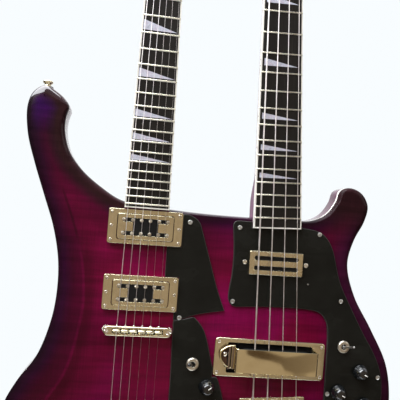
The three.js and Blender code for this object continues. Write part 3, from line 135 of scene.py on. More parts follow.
# Necks: the headstock's lean, the nut, and how the heel rises off the body and rounds off
HEAD_ANGLE = 13.0
NUT_THICKNESS = 5.0
HEEL_LIFT = 21.0
HEEL_SWEEP = 38.0
HEEL_LEAD = 8.0
HEEL_POWER, NECK_POWER = 7.0, 2.15

# Fretboards: the pale band's width, the neck's slack behind it, a fret's section, and the inlays
BOARD_BAND = 1.7
EDGE_SLACK = 0.15
FRET_HALF, FRET_RISE, FRET_SINK = 1.05, 1.22, 0.15
INLAY_FRETS = (3, 5, 7, 9, 12, 15, 17, 19)

# Tuners: plate, gear, ears beside the worm, how far the key's button stands off, and where on a
# post, as shares of its rise, the string's turns start and its cross hole lies
TUNER_PLATE = 1.4
GEAR_WIDTH = 3.4
EAR_REACH, EAR_HALF = 6.8, 1.5
KEY_REACH = 7.0
WRAP_SHARE, POST_HOLE_SHARE = 0.62, 0.84

# Outline of the body, anticlockwise from the tip of the left horn:
# shares of the width and of the height, and a share of the roll's width there
BODY_SHARES = (
    (0.042, 1.0, 0.3), (0.014, 0.982, 0.43), (0.002, 0.947, 0.52), (0.008, 0.88, 0.54),
    (0.03, 0.81, 0.54), (0.06, 0.731, 0.54), (0.089, 0.653, 0.57), (0.107, 0.571, 0.65),
    (0.109, 0.486, 0.74), (0.099, 0.418, 0.78), (0.074, 0.343, 0.87), (0.034, 0.284, 0.93),
    (0.006, 0.225, 1.0), (0.002, 0.167, 0.96), (0.03, 0.1, 0.78), (0.099, 0.047, 0.61),
    (0.215, 0.018, 0.43), (0.374, 0.004, 0.3), (0.543, 0.0, 0.26), (0.712, 0.01, 0.26),
    (0.851, 0.045, 0.26), (0.95, 0.11, 0.26), (0.994, 0.192, 0.26), (1.0, 0.271, 0.26),
    (0.984, 0.355, 0.26), (0.936, 0.443, 0.26), (0.883, 0.529, 0.26), (0.859, 0.61, 0.26),
    (0.873, 0.673, 0.26), (0.899, 0.725, 0.26), (0.907, 0.767, 0.26), (0.887, 0.8, 0.22),
    (0.853, 0.812, 0.17), (0.827, 0.802, 0.11), (0.817, 0.773, 0.09), (0.791, 0.737, 0.09),
    (0.748, 0.717, 0.09), (0.682, 0.716, 0.09), (0.553, 0.714, 0.09), (0.433, 0.716, 0.09),
    (0.314, 0.724, 0.09), (0.25, 0.733, 0.11), (0.195, 0.763, 0.17), (0.145, 0.802, 0.22),
    (0.111, 0.847, 0.22), (0.097, 0.898, 0.17), (0.099, 0.931, 0.11), (0.104, 0.951, 0.07),
    (0.091, 0.971, 0.17), (0.068, 0.988, 0.26),
)

# Half a headstock, from the nut to its tip: shares of half its width and of its length
HEAD_SHARES = (
    (0.54, 0.0), (0.6, 0.06), (0.88, 0.17), (1.0, 0.27), (0.97, 0.42), (0.9, 0.62),
    (0.9, 0.8), (0.98, 0.92), (0.84, 0.985), (0.5, 0.95), (0.2, 0.97), (0.0, 1.0),
)

# Pickguards: corners in X and Z, and the radius that rounds each
UPPER_GUARD = (
    (-43.0, 149.0, 2), (-33.0, 148.6, 30), (-21.0, 141.0, 30), (-16.5, 127.0, 60), (-5.0, 93.0, 80),
    (5.0, 62.0, 80), (14.5, 38.0, 30), (18.5, 29.2, 1.5), (-7.0, 25.2, 80), (-24.0, 21.0, 30),
    (-36.0, 16.2, 8), (-46.4, 14.6, 1), (-46.4, 24.4, 0.3), (-42.8, 24.4, 0.3), (-42.8, 68.6, 0.3),
    (-61.0, 68.6, 0.3), (-61.0, 106.4, 0.3), (-42.8, 106.4, 0.3),
)
LOWER_GUARD = (
    (-46.2, 14.2, 1), (-36.0, 15.6, 6), (-20.5, 20.2, 3), (-12.0, 12.0, 12), (-4.0, 1.0, 20),
    (6.0, -35.0, 60), (8.4, -43.5, 1), (8.4, -54.8, 0.5), (14.6, -54.8, 2), (18.0, -62.0, 30),
    (25.0, -83.0, 40), (28.0, -108.0, 40), (22.0, -136.0, 30), (4.0, -152.0, 30), (-20.0, -154.0, 30),
    (-38.0, -142.0, 30), (-45.0, -115.0, 30), (-44.5, -60.0, 80), (-46.0, -15.0, 60),
)
BASS_GUARD = (
    (22.0, 141.0, 5), (25.0, 145.6, 5), (38.0, 146.0, 5), (46.6, 145.8, 0.5), (47.0, 138.0, 0.5),
    (112.2, 140.8, 0.5), (112.0, 142.2, 0.5), (136.0, 140.4, 40), (150.0, 132.0, 30), (160.0, 115.0, 60),
    (166.0, 90.0, 60), (173.0, 69.0, 60), (192.0, 36.0, 80), (208.0, 8.0, 60), (224.0, -15.0, 60),
    (236.0, -40.0, 50), (240.0, -70.0, 60), (236.0, -108.0, 60), (222.0, -136.0, 50), (200.0, -150.0, 40),
    (178.0, -148.0, 30), (162.0, -130.0, 30), (158.8, -105.0, 60), (158.8, -20.0, 60), (158.8, 8.0, 40),
    (156.0, 22.0, 20), (147.0, 33.0, 20), (130.0, 36.6, 40), (84.0, 37.6, 60), (28.0, 35.0, 8),
    (22.0, 43.0, 10), (22.0, 56.0, 30), (25.0, 75.0, 80), (25.6, 108.0, 80),
)
GUARD_SCREWS = (
    (-34.0, 139.0), (-39.0, 18.0), (31.0, 137.0), (139.0, 135.0), (28.0, 42.0), (174.0, 49.0),
    (232.0, -49.0), (163.0, -72.0), (-36.0, -139.0), (8.0, -141.0), (168.0, -134.0), (226.0, -119.0),
)
GUARD_DOT = (127.0, 69.0)

# Guitar pickups
GUITAR_X = -90.0
RING_HEIGHTS = {"neck": 128.46, "bridge": 46.5}
RING_SIZE = (93.0, 43.0)
RING_FRONT = -43.2
COVER_SIZE = (69.6, 31.4)
COVER_FRONT = -45.4
COVER_GAP = 0.8
SLOT_OFFSET, SLOT_REACH, SLOT_HALF = 8.3, 29.3, 2.6
WINDOW_REACH = 15.7
POLE_SPREAD = 54.8
PICKUP_BACK = -29.0

# Bass pickups
BASS_PICKUP = (81.65, 93.36)
BASS_PICKUP_SIZE = (72.0, 30.5)
BASS_PICKUP_FRONT = -44.4
BASS_SLOTS = (6.4, 29.5, 2.8)
SURROUND = (9.0, 156.0, -54.22, -5.72)
SURROUND_FRONT = -41.0
SURROUND_TURN = 1.2
SURROUND_MOUTH = (26.0, 138.0, -49.4, -11.2)
COVER_BOX = (34.0, 142.0, -45.2, -15.5)
COVER_RAISED = -56.0
BOSS = (27.6, -25.97, 13.0, -47.3)
COIL_BOX = (45.0, 133.0, -42.9, -18.0)

# Controls and fittings: the knobs' places, the angles of their pointers, and for each switch its
# place, its lever's lean and the direction of that, the tip's radius and its finish
KNOBS = {
    "guitar_knob_1": (2.0, -67.0), "guitar_knob_2": (10.0, -112.0), "bass_knob_1": (206.0, -42.0),
    "bass_knob_2": (177.0, -69.0), "bass_knob_3": (214.0, -85.0), "bass_knob_4": (185.0, -111.0),
}
POINTER_ANGLES = {
    "guitar_knob_1": 38.0, "guitar_knob_2": 5.0, "bass_knob_1": -25.0, "bass_knob_2": -27.0,
    "bass_knob_3": -20.0, "bass_knob_4": -40.0,
}
SWITCHES = {
    "guitar_switch_lever": (-18.0, -39.0, 24.0, 147.0, 2.3, "knob"),
    "bass_switch_lever": (181.0, -9.9, 20.0, 42.0, 1.4, "bat"),
}

# A knob from its face back: radius, level, and how far the corner is rounded; then its ribs
KNOB_PROFILE = (
    (0.3, -54.5, 0), (5.5, -54.3, 1.6), (8.2, -49.6, 4.0), (9.4, -46.0, 1.2), (9.6, -45.4, 0.4),
    (10.0, -44.6, 0.4), (10.0, -43.0, 0.3), (9.0, -42.8, 0.0), (8.6, -43.6, 0), (0.3, -43.6, 0),
)
KNOB_SIDES = 72
RIB_COUNT, RIB_DEPTH, RIB_FRONT, RIB_BACK = 24, 0.12, -50.0, -46.0

# Holes in the pickguards and bushings, and the fittings at the body's ends
KNOB_HOLE, SWITCH_HOLE, BUSHING_BORE = 4.2, 4.6, 3.25
TAILPIECE_Y = -40.4
JACK_PLATE = (30.0, 90.0, -24.0, -4.0, -211.8)
SOCKETS = (46.5, 73.5)
BUTTON_Y = -17.0
BUTTON_SCREW = 2.4
STRAP_BUTTONS = {"strap_button_horn": (-226.9, 297.3, 1), "strap_button_tail": (8.0, -213.3, -1)}

# Camera, as fitted to the fret ends of both necks
CAMERA_PLACE = (-112.24, -672.72, 142.95)
CAMERA_RIGHT = (0.9872235, -0.1413718, 0.0735098)
CAMERA_UP = (-0.0783497, -0.0289716, 0.9965049)
CAMERA_BACK = (-0.1387480, -0.9895325, -0.0396779)
CAMERA_LENS = 45.0

# The dark streak in the room's colours: the ranges of how far a direction leans right and rises, and
# by the share of the lean the streak's middle, half its width and its depth
STREAK_LEAN = (0.25, 0.42)
STREAK_DROP = (-0.25, -0.3)
STREAK_STOPS = (
    (0.03, (0.15, 0.25, 0.0)), (0.07, (0.17, 0.4, 1.0)), (0.165, (0.24, 0.5, 1.0)), (0.25, (0.29, 0.5, 1.0)),
    (0.35, (0.37, 0.4, 0.95)), (0.48, (0.48, 0.4, 0.8)), (0.54, (0.63, 0.7, 0.72)), (0.67, (0.66, 0.9, 0.66)),
    (0.79, (0.61, 1.0, 0.6)), (0.92, (0.51, 1.0, 0.5)),
)

# The largest light, the point that the others are aimed at, and the floor
WINDOW_PLACE = (-0.771, -0.297, 1.794)
WINDOW_SIZE = (1.84, 2.5)
WINDOW_AXES = ((0.4856, -0.8742, 0.0), (0.7501, 0.4167, 0.5136), (-0.4490, -0.2494, 0.8580))
LIT_POINT = (0.0, 0.0, 0.1)
FLOOR_Z = -900.0
FLOOR_RADIUS = 650.0

# Tints that the top's stain is multiplied by. Up the roll and past its crease where the roll is
# scooped out they paint light and shade: a bright line on the crease and darker bands beside it,
# for the shading where the roll's slope changes. The same where the scooped part starts, where a
# dark line of painted shade lies on the crease. Then three zones, of which the middle one is painted
# light where the neck ring and the strings shade the top
CREASE_PAINTED_LIGHT_TINTS = (
    (0.0, (0.95, 0.9, 1.0)), (0.12, (0.95, 0.9, 1.15)), (0.3, (0.8, 0.8, 0.75)), (0.46, (0.85, 0.8, 0.9)),
    (0.488, (1.32, 1.2, 1.4)), (0.508, (1.25, 1.2, 1.3)), (0.53, (0.8, 0.8, 0.72)), (0.6, (0.76, 0.76, 0.7)),
    (0.7, (1.0, 1.0, 1.0)),
)
CREASE_START_PAINTED_SHADE_TINTS = (
    (0.0, (1.0, 1.0, 1.0)), (0.46, (1.0, 1.0, 1.0)), (0.486, (0.55, 0.6, 0.55)), (0.506, (0.6, 0.6, 0.6)),
    (0.53, (1.15, 1.0, 1.1)), (0.62, (1.05, 1.0, 1.0)), (0.7, (1.0, 1.0, 1.0)),
)
# The middle tint is painted light: it brightens the top where the neck pickup's ring and the strings shade it
HORN_TINT, SADDLE_TINT, MIDDLE_PAINTED_LIGHT_TINT = (0.55, 0.5, 0.7), (1.5, 0.7, 1.75), (1.28, 0.8, 1.4)
PEARL_TINTS = (
    (0.32, (0.33, 0.35, 0.42)), (0.48, (0.55, 0.57, 0.66)), (0.58, (0.45, 0.4, 0.5)),
    (0.7, (0.68, 0.69, 0.74)),
)


def settings():
    """The settings that the panel shows."""
    return bpy.context.scene.guitar_dresser


# Points and outlines


def ring_angles(sides):
    """Angles at even steps round one full turn."""
    return np.arange(sides) * FULL_TURN / sides


def turned(degrees, axis):
    """A turn about one of the axes; one about Y takes Z to (sin, 0, cos)."""
    return np.array(Matrix.Rotation(math.radians(degrees), 4, axis))


def shifted(x, y, z):
    """A shift along the axes."""
    return np.array(Matrix.Translation((x, y, z)))


def neck_matrix(neck):
    """A neck's frame: its saddles at the origin, Z up the neck."""
    return shifted(neck["axis"][0], 0.0, neck["axis"][1]) @ turned(neck["turn"], "Y")


def head_matrix(neck):
    """A headstock's frame: its face at Y zero, leaning back from the nut."""
    foot = shifted(0.0, NECK_FACE, neck["scale"] + NUT_THICKNESS)
    return neck_matrix(neck) @ foot @ turned(-HEAD_ANGLE, "X")


def moved(points, matrix):
    """Points turned and shifted by a four by four matrix."""
    return points @ matrix[:3, :3].T + matrix[:3, 3]


def placed(point, matrix):
    """One point turned and shifted by a matrix."""
    return moved(np.array([point]), matrix)[0]


def aimed(origin, direction, side=(1.0, 0.0, 0.0)):
    """A frame at the origin whose Z points along the direction and whose X lies nearest the side."""
    z = np.array(direction, float)
    z /= np.linalg.norm(z)
    x = np.array(side, float)
    x -= z * (x @ z)
    x /= np.linalg.norm(x)
    result = np.eye(4)
    result[:3, 0] = x
    result[:3, 1] = np.cross(z, x)
    result[:3, 2] = z
    result[:3, 3] = origin
    return result


def signed_area(loop):
    """Half the sum of the cross products of neighbouring points: positive when anticlockwise."""
    after = np.roll(loop, -1, axis=0)
    return 0.5 * float(np.sum(loop[:, 0] * after[:, 1] - loop[:, 1] * after[:, 0]))


def turned_loop(loop, sign):
    """The loop, in the direction asked for: 1 for anticlockwise, -1 for clockwise."""
    loop = np.asarray(loop, float)[:, :2]
    return loop if signed_area(loop) * sign > 0 else loop[::-1]


def left_normals(loop):
    """Mitred normals on the left of each point: the sum of the neighbouring edges' normals over its
    length, made longer by one over its cosine with the edge's normal, at most twofold."""
    before = loop - np.roll(loop, 1, axis=0)
    after = np.roll(loop, -1, axis=0) - loop
    for edge in (before, after):
        edge /= np.maximum(np.linalg.norm(edge, axis=1, keepdims=True), TINY)
    total = before + after
    normal = np.stack([-total[:, 1], total[:, 0]], axis=1)
    normal /= np.maximum(np.linalg.norm(normal, axis=1, keepdims=True), TINY)
    edge = np.stack([-after[:, 1], after[:, 0]], axis=1)
    return normal / np.maximum(np.sum(normal * edge, axis=1, keepdims=True), 0.5)


def rounded(corners, steps=6):
    """A loop with each corner (x, z, radius) rounded by a parabola that starts a radius away from it.
    The start is never further than half way to the next corner."""
    corners = np.asarray(corners, float)
    place, radius = corners[:, :2], corners[:, 2]
    before = np.roll(place, 1, axis=0) - place
    after = np.roll(place, -1, axis=0) - place
    far_before = np.linalg.norm(before, axis=1)
    far_after = np.linalg.norm(after, axis=1)
    start = place + before * (np.minimum(radius, HALF_WAY * far_before) / far_before)[:, None]
    end = place + after * (np.minimum(radius, HALF_WAY * far_after) / far_after)[:, None]
    t = np.linspace(0.0, 1.0, steps)[None, :, None]
    curve = (1 - t) ** 2 * start[:, None] + 2 * t * (1 - t) * place[:, None] + t**2 * end[:, None]
    return curve.reshape(-1, 2)


def rounded_rectangle(x, z, width, height, corner, steps=6):
    """A rectangle about a centre, its corners rounded by quarter circles."""
    angles = np.linspace(0.0, 0.5 * math.pi, steps)
    across = np.array([1.0, -1.0, -1.0, 1.0])
    up = np.array([1.0, 1.0, -1.0, -1.0])
    turn = angles[None, :] + 0.5 * math.pi * np.arange(4)[:, None]
    xs = x + (across * (width / 2 - corner))[:, None] + corner * np.cos(turn)
    zs = z + (up * (height / 2 - corner))[:, None] + corner * np.sin(turn)
    return np.stack([xs, zs], axis=2).reshape(-1, 2)


def box_outline(box, corner, steps=6):
    """A rounded rectangle between limits (left, right, bottom, top)."""
    left, right, bottom, top = box
    middle = ((left + right) / 2, (bottom + top) / 2)
    return rounded_rectangle(*middle, right - left, top - bottom, corner, steps)


def stadium(x, z, reach, half, steps=8):
    """A slot along X with half-round ends, as a rounded rectangle whose corners take its whole height."""
    return rounded_rectangle(x, z, 2 * reach, 2 * half, half * 0.999, steps)


def circle(x, z, radius, sides=24):
    """Points at even angles on a circle."""
    angles = ring_angles(sides)
    return np.stack([x + radius * np.cos(angles), z + radius * np.sin(angles)], axis=1)


def travelled(path, sides):
    """The distance along a path, repeated for each point of its rings."""
    steps = np.linalg.norm(np.diff(path, axis=0), axis=1)
    return np.repeat(np.concatenate([[0.0], np.cumsum(steps)]), sides)


def spline(controls, count):
    """A closed centripetal Catmull-Rom curve, at points evenly spaced along its length.
    Knots lie the square root of the chord apart, and each span is a cubic Hermite curve."""
    p1 = np.asarray(controls, float)
    p0, p2, p3 = (np.roll(p1, shift, axis=0) for shift in (1, -1, -2))
    pairs = ((p0, p1), (p1, p2), (p2, p3))
    d0, d1, d2 = (np.linalg.norm(b - a, axis=1, keepdims=True) ** 0.5 for a, b in pairs)
    start = ((p1 - p0) / d0 - (p2 - p0) / (d0 + d1) + (p2 - p1) / d1) * d1
    end = ((p2 - p1) / d1 - (p3 - p1) / (d1 + d2) + (p3 - p2) / d2) * d1
    t = np.linspace(0.0, 1.0, 40, endpoint=False)[None, :, None]
    curve = (
        (2 * t**3 - 3 * t**2 + 1) * p1[:, None] + (t**3 - 2 * t**2 + t) * start[:, None]
        + (3 * t**2 - 2 * t**3) * p2[:, None] + (t**3 - t**2) * end[:, None]
    ).reshape(-1, p1.shape[1])
    closed = np.vstack([curve, curve[:1]])
    lengths = travelled(closed, 1)
    at = np.linspace(0.0, lengths[-1], count, endpoint=False)
    return np.stack([np.interp(at, lengths, column) for column in closed.T], axis=1)


# Shells


class Shape:
    """Closed shells of points and faces, kept in millimetres until the piece is made."""

    def __init__(self):
        self.points, self.faces, self.materials, self.values = [], [], [], []
        self.count = 0

    def add(self, points, faces, material=0, matrix=None, value=None):
        """Adds a shell, turned outward when its signed volume is negative."""
        points = np.asarray(points, float)
        if matrix is not None:
            points = moved(points, matrix)
        if shell_volume(points, faces) < 0:
            faces = [tuple(face)[::-1] for face in faces]
        self.points.append(points)
        self.faces.extend(tuple(int(n) + self.count for n in face) for face in faces)
        self.materials.extend(material if isinstance(material, list) else [material] * len(faces))
        self.values.append(np.zeros(len(points)) if value is None else np.asarray(value, float))
        self.count += len(points)
        return self

    def build(self, name, materials, slot, body=STILL, nodes=(), angle=35.0):
        """Makes the piece's object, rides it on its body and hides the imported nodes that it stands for."""
        mesh = bpy.data.meshes.new(name)
        mesh.from_pydata(np.vstack(self.points) * MM, [], self.faces)
        mesh.polygons.foreach_set("material_index", np.array(self.materials, np.int32))
        along = mesh.attributes.new("along", "FLOAT", "POINT")
        along.data.foreach_set("value", np.concatenate(self.values) * MM)
        mesh.update()
        if mesh.validate():
            raise RuntimeError(f"the piece {name} has broken faces")
        mesh.shade_smooth()
        mesh.set_sharp_from_angle(angle=math.radians(angle))
        piece = bpy.data.objects.new(name, mesh)
        bpy.context.scene.collection.objects.link(piece)
        for key in materials:
            mesh.materials.append(finish(key))
        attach(piece, body)
        if nodes:
            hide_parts(*nodes)
        return piece


def shell_volume(points, faces):
    """Six times a closed shell's volume: the triple products of its faces' fans."""
    total = 0.0
    centre = points.mean(axis=0)
    for length in {len(face) for face in faces}:
        ring = points[np.array([face for face in faces if len(face) == length])] - centre
        for n in range(1, length - 1):
            total += float(np.sum(ring[:, 0] * np.cross(ring[:, n], ring[:, n + 1])))
    return total


def ring_quads(rows, sides, start=0, count=None):
    """Quads between neighbouring rings of points; after the last of count rings comes the first."""
    row = np.arange(rows)[:, None]
    here = row * sides + start
    there = (row + 1) % (count or rows + 1) * sides + start
    at = np.arange(sides)[None, :]
    after = (at + 1) % sides
    quads = np.stack([here + at, here + after, there + after, there + at], axis=2)
    return [tuple(quad) for quad in quads.reshape(-1, 4).tolist()]


def skin(rings, closed=False):
    """Quads between neighbouring rings of equally many points, with a flat cap on each end."""
    rings = np.asarray(rings, float)
    count, sides = rings.shape[:2]
    faces = ring_quads(count if closed else count - 1, sides, 0, count)
    if not closed:
        last = (count - 1) * sides
        faces += [tuple(range(sides))[::-1], tuple(range(last, last + sides))]
    return rings.reshape(-1, 3), faces


def lathe(profile, matrix=None, sides=24, x=0.0, z=0.0):
    """A profile of (radius, Y) pairs turned about the Y axis through (x, z).
    A point is radius times (cos, sin) of its angle, at its height."""
    profile = np.asarray(profile, float)
    angles = ring_angles(sides)
    radius = np.maximum(profile[:, :1], 0.05)
    xs = x + radius * np.cos(angles)
    zs = z + radius * np.sin(angles)
    points, faces = skin(np.stack([xs, np.broadcast_to(profile[:, 1:], xs.shape), zs], axis=2))
    return (moved(points, matrix) if matrix is not None else points), faces


def bent_profile(points, steps=4):
    """An open profile with rounded corners. Where a corner's third value, its radius, is above zero,
    a parabola replaces it, from that far before it to that far after it or half way along the edge."""
    points = np.asarray(points, float)
    rows = [points[:1, :2]]
    t = np.linspace(0.0, 1.0, steps)[:, None]
    for before, corner, after in zip(points[:-2], points[1:-1], points[2:]):
        if corner[2] <= 0:
            rows.append(corner[None, :2])
            continue
        place, radius = corner[:2], corner[2]
        edges = (before[:2] - place, after[:2] - place)
        shares = (min(radius / max(np.linalg.norm(edge), TINY), HALF_WAY) for edge in edges)
        start, end = (place + edge * share for edge, share in zip(edges, shares))
        rows.append((1 - t) ** 2 * start + 2 * t * (1 - t) * place + t**2 * end)
    rows.append(points[-1:, :2])
    return np.vstack(rows)


def tube(path, radius, sides=8, side=(0.0, 1.0, 0.0)):
    """A round tube along a path: rings of radius times (cos, sin) on two axes across the path's direction."""
    path = np.asarray(path, float)
    forward = np.gradient(path, axis=0)
    forward /= np.linalg.norm(forward, axis=1, keepdims=True)
    across = np.cross(forward, np.broadcast_to(np.asarray(side, float), forward.shape))
    across /= np.maximum(np.linalg.norm(across, axis=1, keepdims=True), TINY)
    other = np.cross(forward, across)
    angles = ring_angles(sides)[None, :, None]
    radius = np.broadcast_to(np.asarray(radius, float), len(path))[:, None, None]
    return skin(path[:, None] + radius * (np.cos(angles) * across[:, None] + np.sin(angles) * other[:, None]))


def faced(flat, triangles, up=True):
    """Twice each triangle's area, and the triangles, all turned anticlockwise or all clockwise."""
    a, b, c = (flat[triangles[:, k]] for k in range(3))
    area = (b[:, 0] - a[:, 0]) * (c[:, 1] - a[:, 1]) - (b[:, 1] - a[:, 1]) * (c[:, 0] - a[:, 0])
    wrong = area < 0 if up else area > 0
    triangles[wrong] = triangles[wrong][:, ::-1]
    return np.abs(area), triangles


def flat_faces(loops, offsets, up):
    """Triangles that fill an outline and leave its holes open, all facing forward or all facing back."""
    shown = [[Vector((p[0], p[1], 0.0)) for p in loop] for loop in loops]
    index = np.concatenate([np.arange(len(loop)) + offset for loop, offset in zip(loops, offsets)])
    area, triangles = faced(np.vstack(loops), np.array(tessellate_polygon(shown)), up)
    return [tuple(t) for t in index[triangles[area > TINY]].tolist()]


def plate(outline, front, back, bevel=0.6, holes=(), hole_bevel=None, steps=3):
    """A plate between two levels of Y with a rounded front edge.
    The edge is a quarter circle: the inset grows by 1 - cos and the level by 1 - sin of its angle."""
    loops = [turned_loop(outline, 1)] + [turned_loop(hole, -1) for hole in holes]
    bevels = [bevel] + [bevel if hole_bevel is None else hole_bevel] * len(holes)
    points, faces, starts, ends, tops = [], [], [], [], []
    count = 0
    for loop, amount in zip(loops, bevels):
        turns = np.linspace(0.0, 0.5 * math.pi, steps + 1 if amount > 0 else 1)
        insets = np.concatenate([[0.0], amount * (1 - np.cos(turns))])
        levels = np.concatenate([[back], front + amount * (1 - np.sin(turns))])
        flat = loop[None] + insets[:, None, None] * left_normals(loop)[None]
        height = np.broadcast_to(levels[:, None], flat.shape[:2])
        rows, sides = len(insets) - 1, len(loop)
        faces += ring_quads(rows, sides, count)
        starts.append(count)
        ends.append(count + rows * sides)
        tops.append(flat[-1])
        points.append(np.stack([flat[..., 0], height, flat[..., 1]], axis=2).reshape(-1, 3))
        count += len(points[-1])
    faces += flat_faces(tops, ends, True) + flat_faces(loops, starts, False)
    return np.vstack(points), faces


def add_plate(shape, *args, material=0, face=None, matrix=None, **options):
    """Adds a plate, its edge in one material and its front in another."""
    points, faces = plate(*args, **options)
    if face is not None:
        front = points[:, 1].min() + 1e-6
        material = [face if np.all(points[list(f), 1] < front) else material for f in faces]
    return shape.add(points, faces, material, matrix)


def add_block(shape, left, right, front, back, bottom, top, bevel=0.4, material=0, matrix=None):
    """A block with rounded upright edges and a rounded front."""
    corner = min(bevel, 0.45 * (right - left), 0.45 * (top - bottom))
    outline = box_outline((left, right, bottom, top), corner, 3)
    return add_plate(shape, outline, front, back, min(corner, 0.8 * (back - front)), steps=2,
                     material=material, matrix=matrix)


def add_screw(shape, origin, direction, radius, rise, cross=True, material=0, turn=0.0, sides=24):
    """A screw's head: a dome whose height is a circle's, with a cross or a slot sunk where the
    distance across an arm is small."""
    r = np.array([0.06, 0.22, 0.36, 0.48, 0.6, 0.78, 0.93, 1.0, 1.0])[:, None]
    angles = ring_angles(sides)
    height = np.sqrt(1 - (DOME_SHARE * r) ** 2) + 0 * angles
    arm, reach = np.abs(r * np.sin(angles)), SLOT_LENGTH
    if cross:
        arm, reach = np.minimum(arm, np.abs(r * np.cos(angles))), CROSS_LENGTH
    height = np.where((arm < ARM_WIDTH) & (r < reach), height - ARM_DEPTH, height) * rise
    height[-1] = -0.3
    x, y = np.cos(angles + turn) * r * radius, np.sin(angles + turn) * r * radius
    return shape.add(*skin(np.stack([x, y, height], axis=2)), material, aimed(origin, direction))


def add_front_screws(shape, places, y, radius, rise, cross=True, material=0, matrix=None):
    """Screws whose heads face the viewer, each turned by an angle of its own."""
    for n, (x, z) in enumerate(places):
        head = add_screw(Shape(), (x, y, z), FRONTWARD, radius, rise, cross, 0, 0.7 + 1.9 * n)
        shape.add(head.points[0], head.faces, material, matrix)


# Materials


class Nodes:
    """A node tree with short ways to add and join nodes."""

    def __init__(self, tree, coordinates):
        self.tree = tree
        self.coordinates = coordinates

    def put(self, value, socket):
        """Links a socket, or sets a plain value; a colour of three numbers becomes opaque."""
        if isinstance(value, bpy.types.NodeSocket):
            self.tree.links.new(value, socket)
        else:
            socket.default_value = (*value[:3], 1.0) if socket.type == "RGBA" else value

    def add(self, kind, **inputs):
        """A new node with some of its inputs set or linked; an underscore stands for a space."""
        node = self.tree.nodes.new("ShaderNode" + kind)
        for name, value in inputs.items():
            self.put(value, node.inputs[name.replace("_", " ")])
        return node

    def noise(self, scale, detail=3.0, roughness=0.5, distortion=0.0):
        """A noise value about one half, on coordinates stretched by a scale on each axis."""
        stretched = self.add("Mapping", Scale=scale, Vector=self.coordinates).outputs["Vector"]
        return self.add("TexNoise", Scale=1.0, Detail=detail, Roughness=roughness, Distortion=distortion,
                        Vector=stretched).outputs["Fac"]

    def ramp(self, value, stops):
        """A colour ramp: stops are (place, colour)."""
        node = self.add("ValToRGB", Fac=value)
        elements = node.color_ramp.elements
        while len(elements) < len(stops):
            elements.new(0.5)
        for element, (place, colour) in zip(elements, stops):
            element.position = place
            element.color = (*colour[:3], 1.0)
        return node.outputs["Color"]

    def math(self, operation, a, b=0.0):
        """One sum on two values."""
        node = self.add("Math")
        node.operation = operation
        for value, socket in zip((a, b), node.inputs):
            self.put(value, socket)
        return node.outputs[0]

    def times(self, first, *others):
        """The product of some values."""
        for other in others:
            first = self.math("MULTIPLY", first, other)
        return first

    def span(self, value, low, high, to_low=0.0, to_high=1.0):
        """A value moved from one span to another, and held there."""
        return self.add("MapRange", Value=value, From_Min=low, From_Max=high, To_Min=to_low,
                        To_Max=to_high).outputs["Result"]

    def zone(self, *spans):
        """The product of spans, each a value and the places where it is 0 and 1."""
        return self.times(*(self.span(*limits) for limits in spans))

    def mix(self, share, a, b, mode="MIX"):
        """Two colours mixed by a share."""
        node = self.add("Mix")
        node.data_type = "RGBA"
        node.blend_type = mode
        self.put(share, node.inputs[0])
        for value, socket in zip((a, b), (s for s in node.inputs if s.type == "RGBA")):
            self.put(value, socket)
        return next(s for s in node.outputs if s.type == "RGBA")

    def tinted(self, share, base, tint):
        """A colour multiplied by a tint, by a share."""
        return self.mix(share, base, self.mix(1.0, base, tint, "MULTIPLY"))

    def axis(self, name):
        """One of the coordinates."""
        return self.add("SeparateXYZ", Vector=self.coordinates).outputs[name]


class Finish(Nodes):
    """A material's nodes on object coordinates."""

    def __init__(self, name, roughness=0.4, metallic=0.0, coat=0.0, coat_roughness=0.05, specular=0.5,
                 coat_ior=1.5):
        self.material = bpy.data.materials.new(name)
        self.material.use_nodes = True
        tree = self.material.node_tree
        super().__init__(tree, tree.nodes.new("ShaderNodeTexCoord").outputs["Object"])
        self.inputs = tree.nodes["Principled BSDF"].inputs
        values = {
            "Roughness": roughness, "Metallic": metallic, "Specular IOR Level": specular, "Coat Weight": coat,
            "Coat Roughness": coat_roughness, "Coat IOR": coat_ior,
        }
        for socket, value in values.items():
            self.inputs[socket].default_value = value

    def attribute(self, name):
        """A value stored at the mesh's points."""
        node = self.add("Attribute")
        node.attribute_name = name
        return node.outputs["Fac"]

    def colour(self, value):
        """Sets the base colour."""
        self.put(value, self.inputs["Base Color"])

    def bump(self, height, distance, strength=1.0, socket="Normal"):
        """Raises the surface, or its coat, by a height in metres."""
        node = self.add("Bump", Strength=strength, Distance=distance, Height=height)
        self.put(node.outputs["Normal"], self.inputs[socket])

    def rough(self, value, low, high):
        """Lets a value move the roughness between two limits."""
        self.put(self.span(value, 0.3, 0.7, low, high), self.inputs["Roughness"])


def toned(colour, factor):
    """A colour made darker or lighter by a factor, held at 1."""
    return tuple(min(c * factor, 1.0) for c in colour[:3])


